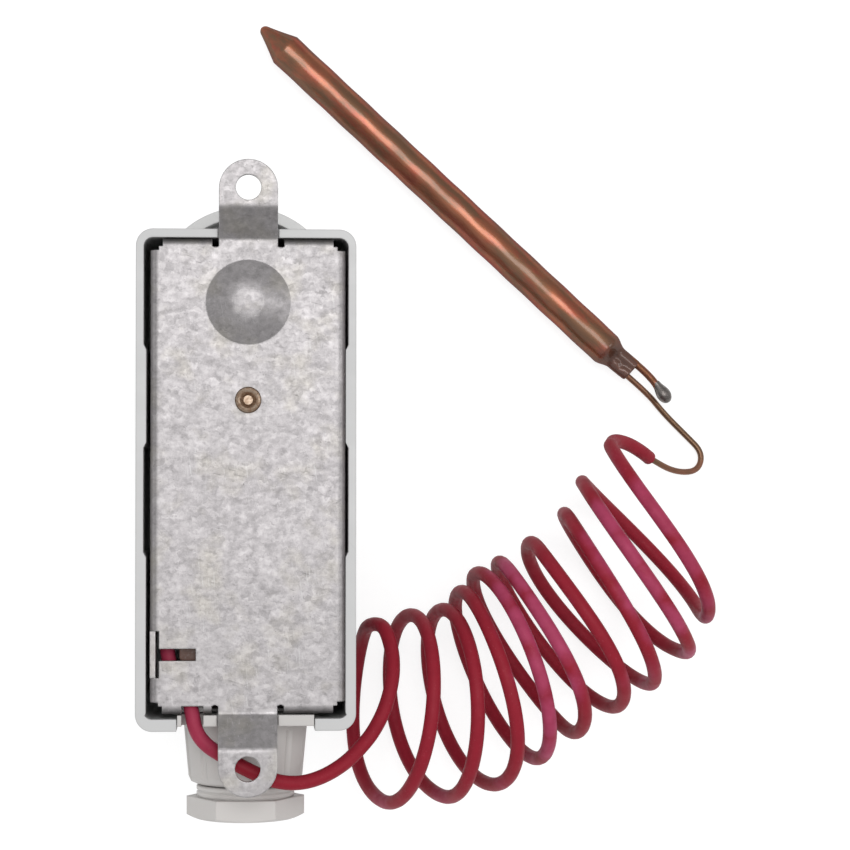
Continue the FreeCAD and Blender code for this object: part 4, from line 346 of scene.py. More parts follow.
def effect(name, inputs, outputs):
    """An empty shader node group with named float, vector or colour sockets, and its tree's Net."""
    tree = bpy.data.node_groups.new(name, "ShaderNodeTree")
    kinds = {"float": "NodeSocketFloat", "vector": "NodeSocketVector", "colour": "NodeSocketColor"}
    for label, kind, value in inputs:
        socket = tree.interface.new_socket(name=label, in_out="INPUT", socket_type=kinds[kind])
        if value is not None:
            socket.default_value = value
    for label, kind in outputs:
        tree.interface.new_socket(name=label, in_out="OUTPUT", socket_type=kinds[kind])
    net = Net(tree)
    return tree, net, net.node("NodeGroupInput"), net.node("NodeGroupOutput")


def moulded_grain():
    """Fine moulded texture: a small noise for the height and a slow one for the shade."""
    tree, net, given, out = effect(
        "Moulded grain",
        [("Vector", "vector", None), ("Size", "float", 0.0004), ("Depth", "float", 0.15)],
        [("Height", "float"), ("Shade", "float"), ("Gloss", "float")])
    rate = net.math("DIVIDE", 1.0, given.outputs["Size"])
    fine = net.noise(given.outputs["Vector"], rate, 3.0, 0.6)
    slow = net.noise(given.outputs["Vector"], 70.0, 4.0, 0.55)
    flow = net.noise(net.stretch(given.outputs["Vector"], (0, 0, 0.3), (40, 260, 160)), 1.0, 3.0, 0.6)
    net.give(out.inputs["Height"], net.math("MULTIPLY", fine, given.outputs["Depth"]))
    net.give(out.inputs["Shade"], net.ramp(slow, 0.3, 0.7, 0.0, 1.0))
    net.give(out.inputs["Gloss"], net.ramp(flow, 0.35, 0.65, 0.0, 1.0))
    return tree


def edge_wear():
    """How far a rounded normal leaves the true one, broken up by a noise: bright on edges that hands rub.
    The rounded normal itself softens every arris."""
    tree, net, given, out = effect(
        "Edge wear",
        [("Vector", "vector", None), ("Radius", "float", 0.0003), ("Reach", "float", 0.12)],
        [("Mask", "float"), ("Normal", "vector")])
    rounded = net.node("ShaderNodeBevel", {"Radius": given.outputs["Radius"]}, samples=6)
    true = net.node("ShaderNodeNewGeometry").outputs["Normal"]
    dot = net.vector("DOT_PRODUCT", rounded.outputs[0], true)
    turn = net.math("DIVIDE", net.math("SUBTRACT", 1.0, dot), given.outputs["Reach"], clamp=True)
    broken = net.ramp(net.noise(given.outputs["Vector"], 900.0, 4.0, 0.65), 0.35, 0.6, 0.25, 1.0)
    net.give(out.inputs["Mask"], net.math("MULTIPLY", turn, broken, clamp=True))
    net.give(out.inputs["Normal"], rounded.outputs[0])
    return tree


def scratches():
    """Thin strokes: a noise drawn out along one direction, cut at a level, and kept in some places only."""
    tree, net, given, out = effect(
        "Scratches",
        [("Vector", "vector", None), ("Level", "float", 0.66), ("Turn", "float", 0.4)],
        [("Mask", "float")])
    spun = net.node("ShaderNodeVectorRotate", {
        "Vector": given.outputs["Vector"], "Angle": given.outputs["Turn"]}, rotation_type="Z_AXIS").outputs[0]
    drawn = net.noise(net.stretch(spun, (0, 0, 0), (260, 4200, 2600)), 1.0, 2.0, 0.5)
    level = given.outputs["Level"]
    stroke = net.ramp(drawn, level, net.math("ADD", level, 0.05), 0.0, 1.0)
    where = net.ramp(net.noise(given.outputs["Vector"], 130.0, 2.0), 0.48, 0.62, 0.0, 1.0)
    net.give(out.inputs["Mask"], net.math("MULTIPLY", stroke, where, clamp=True))
    return tree


def settled_dust():
    """Dust on faces that look up: the normal's height, broken up by a noise."""
    tree, net, given, out = effect(
        "Settled dust", [("Vector", "vector", None), ("Amount", "float", 0.2)], [("Mask", "float")])
    normal = net.node("ShaderNodeNewGeometry").outputs["Normal"]
    height = net.node("ShaderNodeSeparateXYZ", {0: normal}).outputs["Z"]
    lying = net.ramp(height, 0.4, 1.0, 0.0, 1.0)
    spots = net.ramp(net.noise(given.outputs["Vector"], 1500.0, 5.0, 0.7), 0.5, 0.75, 0.0, 1.0)
    mask = net.math("MULTIPLY", net.math("MULTIPLY", lying, spots), given.outputs["Amount"])
    net.give(out.inputs["Mask"], mask)
    return tree


EFFECTS = {}


def effects():
    """The shared node groups, made once."""
    if not EFFECTS:
        EFFECTS.update(grain=moulded_grain(), wear=edge_wear(), scratches=scratches(), dust=settled_dust())
    return EFFECTS


def new_finish(name):
    """A material with its Net, its Principled shader and object coordinates."""
    made = bpy.data.materials.new(name)
    made.use_nodes = True
    made.node_tree.nodes.clear()
    net = Net(made.node_tree)
    shader = net.node("ShaderNodeBsdfPrincipled")
    out = net.node("ShaderNodeOutputMaterial")
    net.give(out.inputs["Surface"], shader.outputs["BSDF"])
    return made, net, shader, net.place()


def bump(net, shader, height, distance, strength=1.0, over=None):
    made = net.node("ShaderNodeBump", {"Height": height, "Distance": distance, "Strength": strength})
    if over is not None:
        net.give(made.inputs["Normal"], over)
    net.give(shader.inputs["Normal"], made.outputs["Normal"])


def plastic(name, base, roughness=0.42, grain=0.00035, depth=0.02, shade=0.06, wear=0.25, dust=0.15):
    """Moulded plastic: its colour drifts a little, its edges are rubbed paler, and dust dulls what lies
    flat."""
    made, net, shader, place = new_finish(name)
    shared = effects()
    grained = net.group(shared["grain"], Vector=place, Size=grain)
    worn = net.group(shared["wear"], Vector=place, Radius=0.0004)
    dusty = net.group(shared["dust"], Vector=place, Amount=dust)
    marked = net.group(shared["scratches"], Vector=place, Level=0.68, Turn=0.9)
    darker = rgba([channel * (1.0 - shade) for channel in base])
    paler = rgba([min(1.0, channel + 0.35 * (1.0 - channel)) for channel in base])
    shaded = net.mix(grained.outputs["Shade"], darker, rgba(base))
    shaded = net.mix(net.math("MULTIPLY", marked.outputs[0], 0.12), shaded, rgba([c * 0.55 for c in base]))
    shaded = net.mix(net.math("MULTIPLY", worn.outputs[0], wear), shaded, paler)
    shaded = net.mix(dusty.outputs[0], shaded, (0.55, 0.53, 0.50, 1.0))
    net.give(shader.inputs["Base Color"], shaded)
    gloss = net.ramp(grained.outputs["Gloss"], 0.0, 1.0, roughness - 0.05, roughness + 0.07)
    rough = net.math("ADD", gloss, net.math("MULTIPLY", marked.outputs[0], 0.15))
    net.give(shader.inputs["Roughness"], rough)
    bump(net, shader, grained.outputs["Height"], depth * MM, over=worn.outputs["Normal"])
    return made


def galvanised(finish):
    """Hot-dip zinc: soft spangles from warped cells, cloudy strokes, warm stains, dark nicks and bright
    rubbed edges."""
    made, net, shader, place = new_finish("Galvanised sheet")
    shared = effects()
    warp = net.node("ShaderNodeTexNoise", {"Vector": place, "Scale": 1100.0, "Detail": 3.0}).outputs["Color"]
    swing = net.scaled(net.vector("SUBTRACT", warp, (0.5, 0.5, 0.5)), 0.0022)
    warped = net.vector("ADD", place, swing)
    cells = net.node("ShaderNodeTexVoronoi", {"Vector": warped, "Scale": 820.0}, feature="F1")
    cell = net.node("ShaderNodeSeparateColor", {0: cells.outputs["Color"]}).outputs[0]
    cloud = net.noise(place, 780.0, 6.0, 0.62)
    stroke = net.noise(net.stretch(warped, (0, 0, 0.55), (430, 1250, 800)), 1.0, 5.0, 0.65)
    stain = net.ramp(net.noise(place, 150.0, 3.0, 0.5), 0.50, 0.68, 0.0, 0.6)
    tone = net.math("ADD", net.math("MULTIPLY", cell, 0.12), net.math("MULTIPLY", cloud, 0.50))
    tone = net.math("ADD", tone, net.math("MULTIPLY", stroke, 0.60))
    level = net.ramp(tone, 0.40, 0.80, 0.74, 1.20)
    # Painted shade and light: the zinc's tone is darkened on bends and drawn forms and brightened on the side
    # flanges.
    level = net.math("MULTIPLY", level, painted_tilt_shade(net))
    zinc = net.mix(stain, rgba(finish.zinc), rgba(finish.zinc_warm))
    toned = net.scaled(zinc, level)
    nick = net.group(shared["scratches"], Vector=place, Level=0.70, Turn=0.25)
    rub = net.group(shared["scratches"], Vector=place, Level=0.64, Turn=1.45)
    speck = net.ramp(net.noise(place, 2100.0, 2.0, 0.5), 0.70, 0.76, 0.0, 0.45)
    toned = net.mix(net.math("MULTIPLY", nick.outputs[0], 0.45), toned, (0.12, 0.118, 0.115, 1.0))
    toned = net.mix(speck, toned, (0.12, 0.115, 0.11, 1.0))
    toned = net.mix(net.math("MULTIPLY", rub.outputs[0], 0.30), toned, (0.55, 0.55, 0.55, 1.0))
    edge = net.group(shared["wear"], Vector=place, Radius=0.00035, Reach=0.10)
    toned = net.mix(net.math("MULTIPLY", edge.outputs[0], 0.65), toned, (0.62, 0.62, 0.62, 1.0))
    net.give(shader.inputs["Base Color"], toned)
    shader.inputs["Metallic"].default_value = 1.0
    rough = net.ramp(tone, 0.38, 0.82, 0.54, 0.42)
    rough = net.math("SUBTRACT", rough, net.math("MULTIPLY", edge.outputs[0], 0.12))
    net.give(shader.inputs["Roughness"], rough)
    relief = net.math("ADD", net.math("MULTIPLY", cloud, 0.6), net.math("MULTIPLY", cell, 0.25))
    relief = net.math("SUBTRACT", relief, net.math("MULTIPLY", nick.outputs[0], 0.5))
    height = net.math("ADD", net.math("MULTIPLY", relief, 0.03 * MM), dome_height(net, place))
    bump(net, shader, height, 1.0, over=edge.outputs["Normal"])
    return made


def painted_tilt_shade(net):
    """Painted shade and light by which way the surface faces: the zinc's colour is darkened where the sheet
    starts to bend or rises into a drawn form, and painted brighter again where the long side flanges turn
    down and face sideways."""
    normal = net.node("ShaderNodeSeparateXYZ", {0: net.node("ShaderNodeNewGeometry").outputs["Normal"]})
    upright = net.math("ABSOLUTE", normal.outputs["Z"])
    # Painted shade: darker where the sheet tilts away from flat.
    painted_bend_shade = net.ramp(upright, 0.99, 0.90, 1.0, 0.74)
    # Painted light: brighter where the faces look sideways, on the long side flanges.
    painted_flange_light = net.ramp(net.math("ABSOLUTE", normal.outputs["X"]), 0.35, 0.95, 0.0, 1.2)
    return net.math("ADD", painted_bend_shade, painted_flange_light)


def dome_height(net, place):
    """What rounds the flat-topped cone of the pressed boss into a dome. Within a ring round the edge of the
    flat, the dome's slope grows evenly from nothing to the cone's, so its fall is a square of the way
    across the ring; the height is the cone's own fall less that one."""
    x, y, edge, half_ring, slope = BOSS_DOME
    flat = net.vector("MULTIPLY", place, (1.0, 1.0, 0.0))
    apart = net.vector("DISTANCE", flat, (x * MM, y * MM, 0.0))
    share = net.ramp(apart, (edge - half_ring) * MM, (edge + half_ring) * MM, 0.0, 1.0)
    dome_fall = net.math("MULTIPLY", net.math("MULTIPLY", share, share), slope * half_ring * MM)
    cone_fall = net.ramp(apart, edge * MM, (edge + half_ring) * MM, 0.0, slope * half_ring * MM)
    return net.math("SUBTRACT", cone_fall, dome_fall)


def metal(name, base, stain, roughness=0.35, grain=600.0, wear=0.35, depth=0.02):
    """Plain metal with a tarnish that gathers in clouds, a worn bright edge and a fine relief."""
    made, net, shader, place = new_finish(name)
    worn = net.group(effects()["wear"], Vector=place, Radius=0.00025)
    cloud = net.noise(place, grain, 5.0, 0.6)
    toned = net.mix(net.ramp(cloud, 0.42, 0.66, 0.0, 1.0), rgba(base), rgba(stain))
    bright = rgba([min(1.0, c * 1.45) for c in base])
    net.give(shader.inputs["Base Color"], net.mix(net.math("MULTIPLY", worn.outputs[0], wear), toned, bright))
    shader.inputs["Metallic"].default_value = 1.0
    net.give(shader.inputs["Roughness"], net.ramp(cloud, 0.35, 0.7, roughness - 0.06, roughness + 0.12))
    bump(net, shader, cloud, depth * MM)
    return made


def heated_copper(name, bulb):
    """Copper browned in bands and streaks by brazing: slow noises drawn out along the tube choose between
    bare, red and brown copper, finer ones break the bands up, the crimped end is charred, and a thin
    oxide film gives a paler gloss."""
    made, net, shader, place = new_finish(name)
    origin = net.vector("SUBTRACT", place, tuple(bulb.tip))
    lined = net.node("ShaderNodeVectorRotate", {
        "Vector": origin, "Angle": -bulb.turn}, rotation_type="Z_AXIS").outputs[0]
    along = net.node("ShaderNodeSeparateXYZ", {0: lined}).outputs["X"]
    bands = net.noise(net.stretch(lined, (0, 0, 0), (95, 330, 330)), 1.0, 5.0, 0.62)
    streak = net.noise(net.stretch(lined, (0, 0, 0), (120, 1300, 1300)), 1.0, 4.0, 0.6)
    fine = net.noise(place, 1600.0, 4.0, 0.65)
    other = net.noise(net.stretch(lined, (0, 0, 0.3), (150, 420, 380)), 1.0, 4.0, 0.6)
    brown = net.ramp(net.math("ADD", bands, net.math("MULTIPLY", streak, 0.25)), 0.56, 0.70, 0.0, 1.0)
    toned = net.mix(net.ramp(other, 0.44, 0.58, 0.0, 1.0), rgba(bulb.copper), rgba(bulb.heat_red))
    toned = net.mix(brown, toned, rgba(bulb.heat_brown))
    toned = net.mix(net.ramp(fine, 0.58, 0.75, 0.0, 0.35), toned, rgba([c * 0.6 for c in bulb.heat_brown]))
    neck = bulb.nose + bulb.body
    ragged = net.math("ADD", along, net.math("MULTIPLY", other, 3 * MM))
    charred = net.ramp(ragged, neck, neck + 3.5 * MM, 0.0, 0.92)
    toned = net.mix(charred, toned, rgba(bulb.char))
    net.give(shader.inputs["Base Color"], toned)
    shader.inputs["Metallic"].default_value = 1.0
    shader.inputs["Specular Tint"].default_value = (0.30, 0.13, 0.08, 1.0)
    shader.inputs["Coat Weight"].default_value = 0.22
    shader.inputs["Coat IOR"].default_value = 2.3
    shader.inputs["Coat Roughness"].default_value = 0.15
    rough = net.ramp(net.math("ADD", bands, net.math("MULTIPLY", streak, 0.4)), 0.5, 0.85, 0.31, 0.48)
    net.give(shader.inputs["Roughness"], net.math("ADD", rough, net.math("MULTIPLY", charred, 0.22)))
    uneven = net.math("MULTIPLY", other, net.math("ADD", net.math("MULTIPLY", charred, 1.2), 0.5))
    relief = net.math("ADD", net.math("MULTIPLY", streak, 0.7), net.math("MULTIPLY", fine, 0.3))
    bump(net, shader, net.math("ADD", relief, uneven), 0.03 * MM, 0.7)
    return made


def silicone(sleeve):
    """Crimson silicone: a painted pink sheen in ragged patches along the listed stretches, most of them on
    the upper turns, small ripples, and pale lint."""
    made, net, shader, place = new_finish("Crimson silicone")
    slow = net.noise(place, 160.0, 3.0, 0.55)
    fine = net.noise(place, 1800.0, 4.0, 0.6)
    ripple = net.noise(place, 420.0, 3.0, 0.55)
    full = (PINK_SHEEN_FULL * PINK_SHEEN_REACH + PINK_SHEEN_RAGGED / 2) * MM
    none = (PINK_SHEEN_REACH + PINK_SHEEN_RAGGED / 2) * MM
    painted_sheen = None
    for strength, points in PINK_SHEEN_STRETCHES:
        for x, y, z in points:
            apart = net.vector("DISTANCE", place, (x * MM, y * MM, z * MM))
            ragged = net.math("ADD", apart, net.math("MULTIPLY", slow, PINK_SHEEN_RAGGED * MM))
            patch = net.ramp(ragged, full, none, strength, 0.0, smooth=True)
            painted_sheen = patch if painted_sheen is None else net.math("MAXIMUM", painted_sheen, patch)
    # Painted sheen: the paler pink mixed into the red over those patches.
    toned = net.mix(painted_sheen, rgba(sleeve.red), rgba(sleeve.painted_sheen_pink))
    toned = net.mix(net.ramp(ripple, 0.3, 0.7, 0.0, 0.25), toned, rgba([c * 0.6 for c in sleeve.red]))
    toned = net.mix(net.ramp(fine, 0.60, 0.78, 0.0, 0.18), toned, (0.50, 0.14, 0.18, 1.0))
    net.give(shader.inputs["Base Color"], toned)
    net.give(shader.inputs["Roughness"], net.ramp(ripple, 0.3, 0.7, 0.44, 0.58))
    shader.inputs["Specular IOR Level"].default_value = 0.14
    relief = net.math("ADD", net.math("MULTIPLY", ripple, 0.8), net.math("MULTIPLY", fine, 0.2))
    bump(net, shader, relief, 0.06 * MM, 0.5)
    return made


# Meshes

def grid_mesh(name, points, folded=False):
    """A mesh over a grid of points, rows by columns, with its columns joined round and its end rows closed
    by a fan. A last row that is folded flat onto a line closes itself once its doubles are merged."""
    rows, columns, _ = points.shape
    here = np.arange(rows * columns).reshape(rows, columns)
    after = np.roll(here, -1, axis=1)
    quads = np.stack([here[:-1], after[:-1], after[1:], here[1:]], axis=-1).reshape(-1, 4)
    first, last = rows * columns, rows * columns + 1
    start = np.stack([np.full(columns, first), after[0], here[0]], axis=-1)
    finish = np.stack([np.full(columns, last), here[-1], after[-1]], axis=-1)
    faces = quads.tolist() + start.tolist()
    ends = [points[0].mean(0)]
    if not folded:
        faces += finish.tolist()
        ends.append(points[-1].mean(0))
    mesh = bpy.data.meshes.new(name)
    mesh.from_pydata(np.vstack([points.reshape(-1, 3), ends]).tolist(), [], faces)
    if folded:
        merged = bmesh.new()
        merged.from_mesh(mesh)
        bmesh.ops.remove_doubles(merged, verts=merged.verts, dist=0.001 * MM)
        merged.to_mesh(mesh)
        merged.free()
    mesh.shade_smooth()
    mesh.update()
    return mesh


def swept_points(route, radii, around=40):
    """Circles carried along a path: each stands square to the path there, and the radii are one a row."""
    ahead = np.gradient(route, axis=0)
    ahead /= np.linalg.norm(ahead, axis=1)[:, None]
    side = np.cross([0.0, 0.0, 1.0], ahead)
    side /= np.linalg.norm(side, axis=1)[:, None]
    up = np.cross(ahead, side)
    angle = (np.arange(around) / around * 2 * math.pi)[None, :, None]
    ring = np.cos(angle) * side[:, None] + np.sin(angle) * up[:, None]
    return route[:, None] + radii[:, None, None] * ring


def add_piece(name, data, body, finish, slot_name, *replaced):
    """Links a finished piece, gives it its material, lets it ride on a body and hides what it replaces."""
    piece = bpy.data.objects.new(name, data)
    bpy.context.scene.collection.objects.link(piece)
    data.materials.append(finish)
    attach(piece, body)
    if replaced:
        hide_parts(*replaced)
    return piece


def smooth_cord(name, route, radius, body, finish, slot_name):
    """A round cord whose centreline is one open quadratic NURBS spline through the route."""
    curve = bpy.data.curves.new(name, "CURVE")
    curve.dimensions = "3D"
    spline = curve.splines.new("NURBS")
    spline.points.add(len(route) - 1)
    packed = np.column_stack([np.asarray(route, float), np.ones(len(route))])
    spline.points.foreach_set("co", packed.ravel())
    spline.order_u = 3
    spline.use_endpoint_u = True
    spline.resolution_u = 6
    curve.bevel_depth = radius
    curve.bevel_resolution = 6
    curve.use_fill_caps = True
    return add_piece(name, curve, body, finish, slot_name)


def repaint(material, *nodes):
    """Puts a finish on every slot of CAD nodes."""
    for name in nodes:
        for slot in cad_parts[name].material_slots:
            slot.link = "OBJECT"
            slot.material = material


def smoothstep(value):
    value = np.clip(value, 0.0, 1.0)
    return value * value * (3.0 - 2.0 * value)


def from_bulb(bulb, along, across, rise):
    """Places given along the bulb from its tip, across it and above its axis, as points of the frame."""
    forward = np.array([math.cos(bulb.turn), math.sin(bulb.turn), 0.0])
    side = np.array([-math.sin(bulb.turn), math.cos(bulb.turn), 0.0])
    up = np.array([0.0, 0.0, 1.0])
    along, across, rise = (np.asarray(values)[..., None] for values in (along, across, rise))
    return np.array(bulb.tip) + along * forward + across * side + rise * up


def bulb_points(bulb):
    """The bulb as a profile carried along its axis. The radius rises from the rounded nose along a cone to
    the tube, and beyond the tube the circle is pressed into two lobes: its half width and half thickness
    shrink smoothly, a bell-shaped groove thins the middle, and a bell-shaped dent marks one lobe. The last
    rows round the rim of the end over and then fold it flat."""
    around = 96
    angle = np.arange(around) / around * 2 * math.pi
    neck = bulb.nose + bulb.body
    nose = bulb.nose * (1 - np.cos(np.linspace(0.06, 1, 30) * math.pi / 2))
    body = bulb.nose + bulb.body * np.linspace(0.004, 1, 300)
    crimp = neck + (bulb.crimp - bulb.end_round) * np.linspace(0.01, 1, 80)
    station = np.concatenate([nose, body, crimp])
    cone = bulb.nose_tip + (bulb.radius - bulb.nose_tip) * np.clip(station / bulb.nose, 0, 1) ** 1.05
    rounding = np.sqrt(np.clip(1 - (1 - np.clip(station / bulb.nose_tip, 0, 1)) ** 2, 0, 1))
    radius = cone - bulb.nose_tip * (1 - rounding)
    pressed = smoothstep((station - neck) / (0.44 * bulb.crimp))
    half_width = radius + (bulb.crimp_half_width - radius) * pressed
    half_depth = radius + (bulb.crimp_half_thickness - radius) * pressed
    across = np.outer(half_width, np.cos(angle))
    groove = 0.34 * pressed[:, None] * np.exp(-(across / (0.7 * MM)) ** 2)
    past_neck = station[:, None] - neck
    dent = 0.22 * np.exp(-((past_neck - 4.8 * MM) ** 2 + (across + 0.7 * MM) ** 2) / (0.6 * MM) ** 2)
    depth = np.outer(half_depth, np.sin(angle)) * (1 - groove - dent)
    along = np.repeat(station[:, None], around, 1)

    turn = np.linspace(0.15, 1.0, 6)[:, None] * math.pi / 2
    lost = bulb.end_round * (1 - np.cos(turn))
    rim_across = across[-1] * (1 - lost / bulb.crimp_half_width)
    rim_depth = depth[-1] * (1 - lost / bulb.crimp_half_thickness)
    rim_along = along[-1] + bulb.end_round * np.sin(turn)
    fold = np.linspace(0.8, 0.0, 5)[:, None]
    along = np.vstack([along, rim_along, np.repeat(rim_along[-1:], 5, 0)])
    across = np.vstack([across, rim_across, np.repeat(rim_across[-1:], 5, 0)])
    depth = np.vstack([depth, rim_depth, rim_depth[-1] * fold])
    drift = 0.30 * MM * np.clip((along - neck) / bulb.crimp, 0, 1) ** 2
    wave = 0.03 * MM * np.sin(along * 700 + 3 * np.cos(np.arctan2(depth, across)))
    swell = 1 + wave / np.maximum(np.hypot(across, depth), 0.8 * MM)
    return from_bulb(bulb, along, across * swell + drift, depth * swell)


def fill_tube_points(bulb):
    """The fill tube: circles along a curve of the second degree that leaves the upper lobe and bends down."""
    share = np.linspace(0, 1, 48)[:, None]
    start, middle, end = FILL_TUBE_ROUTE * MM
    bent = (1 - share) ** 2 * start + 2 * share * (1 - share) * middle + share ** 2 * end
    return swept_points(from_bulb(bulb, *bent.T), np.full(len(bent), FILL_TUBE_RADIUS * MM))


def solder_points():
    """The bead: an egg on a straight axis. Its radius grows smoothly from the tube to the widest place, and
    from there falls as a quarter of an ellipse does."""
    share = 1 - np.cos(np.linspace(0, 1, 60) * math.pi / 2)
    share = np.concatenate([share[share < 0.5], 0.5 + 0.5 * np.sin(np.linspace(0, 0.997, 50) * math.pi / 2)])
    grown = SOLDER_NECK + (SOLDER_RADIUS - SOLDER_NECK) * smoothstep(share / SOLDER_WIDEST)
    past = np.clip((share - SOLDER_WIDEST) / (1 - SOLDER_WIDEST), 0, 1)
    return share, grown * np.sqrt(1 - past ** 2) * MM


# Operators

class Piece:
    """What every operator of this part shares."""
    bl_options = {"REGISTER", "UNDO"}


class THERMOSTAT_OT_studio(Piece, bpy.types.Operator):
    """Sets up the camera, the pale floor, the soft panels and the room"""
    bl_idname = "thermostat.studio"
    bl_label = "Studio"

    def execute(self, context):
        studio = context.scene.thermostat_studio
        data = bpy.data.cameras.new("Camera")
        data.lens = studio.lens
        data.sensor_width = 36.0
        data.clip_start, data.clip_end = 0.01, 50.0
        camera = bpy.data.objects.new("Camera", data)
        camera.location = studio.camera_place
        camera.rotation_euler = Euler(studio.camera_turn, "XYZ")
        context.scene.collection.objects.link(camera)
        context.scene.camera = camera
        self.make_floor(context, studio)
        self.make_room(context, studio)
        self.make_panel(context, "Overhead panel", OVERHEAD_PLACE, OVERHEAD_SIDE, studio.overhead_light)
        self.make_panel(context, "Side panel", SIDE_PANEL_PLACE, SIDE_PANEL_SIDE, studio.side_light)
        context.scene.view_settings.view_transform = "Standard"
        return {"FINISHED"}

    def make_panel(self, context, name, place, side, radiance):
        """A square soft panel aimed at the object. Its power is its radiance times pi times its area."""
        lamp = bpy.data.lights.new(name, "AREA")
        lamp.shape = "SQUARE"
        lamp.size = side
        lamp.energy = radiance * math.pi * side * side
        panel = bpy.data.objects.new(name, lamp)
        panel.location = place
        panel.rotation_euler = (PANEL_AIM - place).to_track_quat("-Z", "Y").to_euler()
        context.scene.collection.objects.link(panel)

    def make_floor(self, context, studio):
        """A plain floor under the part. Seen directly, in metal or through glass it is white, less a faint
        shadow."""
        half = studio.floor_size / 2
        level = CAD_BOX[0][2] - 0.00005
        mesh = bpy.data.meshes.new("Floor")
        corners = [(-half, -half, level), (half, -half, level), (half, half, level), (-half, half, level)]
        mesh.from_pydata(corners, [], [(0, 1, 2, 3)])
        floor = bpy.data.objects.new("Floor", mesh)
        context.scene.collection.objects.link(floor)
        made = bpy.data.materials.new("White floor")
        made.use_nodes = True
        made.node_tree.nodes.clear()
        net = Net(made.node_tree)
        path = net.node("ShaderNodeLightPath")
        seen = net.math("MAXIMUM", path.outputs["Is Camera Ray"], path.outputs["Is Glossy Ray"])
        seen = net.math("MAXIMUM", seen, path.outputs["Is Transmission Ray"])
        plain = net.node("ShaderNodeBsdfDiffuse", {"Color": (0.72, 0.72, 0.72, 1.0)})
        faint = net.node("ShaderNodeBsdfDiffuse", {"Color": (0.30, 0.30, 0.30, 1.0)})
        glow = net.node("ShaderNodeEmission", {"Color": (1.0, 1.0, 1.0, 1.0), "Strength": 0.80})
        white = net.node("ShaderNodeAddShader", {0: faint.outputs[0], 1: glow.outputs[0]})
        mixed = net.node("ShaderNodeMixShader", {0: seen, 1: plain.outputs[0], 2: white.outputs[0]})
        out = net.node("ShaderNodeOutputMaterial")
        net.give(out.inputs["Surface"], mixed.outputs[0])
        mesh.materials.append(made)

    def make_room(self, context, studio):
        """The room: a plain grey surround, a little brighter at the left and on this side of the table."""
        world = bpy.data.worlds.new("Room")
        context.scene.world = world
        world.use_nodes = True
        world.node_tree.nodes.clear()
        net = Net(world.node_tree)
        way = net.node("ShaderNodeTexCoord").outputs["Generated"]
        parts = net.node("ShaderNodeSeparateXYZ", {0: way})
        lean = net.math("ADD", parts.outputs["X"], net.math("MULTIPLY", parts.outputs["Y"], 0.5))
        level = net.ramp(lean, -1.0, 1.0, studio.room_light * 1.22, studio.room_light * 0.82)
        shade = net.node("ShaderNodeCombineColor", {0: level, 1: level, 2: level})
        ground = net.node("ShaderNodeBackground", {"Color": shade.outputs[0], "Strength": 1.0})
        out = net.node("ShaderNodeOutputWorld")
        net.give(out.inputs["Surface"], ground.outputs[0])


class THERMOSTAT_OT_sleeve(Piece, bpy.types.Operator):
    """Winds the silicone sleeve of the capillary, from inside the housing through the coil to its cut end"""
    bl_idname = "thermostat.sleeve"
    bl_label = "Sleeved capillary"

    def execute(self, context):
        sleeve = context.scene.thermostat_sleeve
        route = np.vstack([SLEEVE_ROUTE, coil_points(), END_ROUTE])
        piece = smooth_cord("capillary_in_sleeve", route, sleeve.diameter / 2, "housing", silicone(sleeve),
                            "sleeve_rubber")
        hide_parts("capillary_sleeve", "sleeve_coil", "sleeve_end")
        return {"FINISHED"}


class THERMOSTAT_OT_capillary(Piece, bpy.types.Operator):
    """Bends the bare copper capillary from the cut sleeve round to the crimped end of the bulb"""
    bl_idname = "thermostat.capillary"
    bl_label = "Bare capillary"

    def execute(self, context):
        size = context.scene.thermostat_capillary
        colours = context.scene.thermostat_finish
        finish = metal("Capillary copper", colours.capillary, colours.capillary_red, roughness=0.40,
                       grain=180.0)
        piece = smooth_cord("bare_capillary", TAIL_ROUTE, size.diameter / 2, "housing", finish, "copper")
        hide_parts("capillary_tail")
        return {"FINISHED"}


class THERMOSTAT_OT_bulb(Piece, bpy.types.Operator):
    """Makes the copper bulb with its swaged nose and two-lobed crimp"""
    bl_idname = "thermostat.bulb"
    bl_label = "Sensing bulb"

    def execute(self, context):
        bulb = context.scene.thermostat_bulb
        colours = context.scene.thermostat_finish
        copper = heated_copper("Bulb copper", bulb)
        shell = grid_mesh("sensing_bulb", bulb_points(bulb), folded=True)
        add_piece("sensing_bulb", shell, "housing", copper, "copper", "bulb")
        red_copper = metal("Reddened copper", bulb.tube_red, bulb.heat_brown, roughness=0.40, grain=900.0)
        tube = grid_mesh("sealed_fill_tube", fill_tube_points(bulb))
        add_piece("sealed_fill_tube", tube, "housing", red_copper, "copper", "fill_tube")
        share, radii = solder_points()
        axis = (SOLDER_AXIS[0] + share[:, None] * (SOLDER_AXIS[1] - SOLDER_AXIS[0])) * MM
        bead = grid_mesh("solder_seal", swept_points(from_bulb(bulb, *axis.T), radii))
        solder = metal("Solder", colours.solder, [c * 0.5 for c in colours.solder], roughness=0.34,
                       grain=900.0, depth=0.06)
        add_piece("solder_seal", bead, "housing", solder, "solder", "solder_bead")
        return {"FINISHED"}


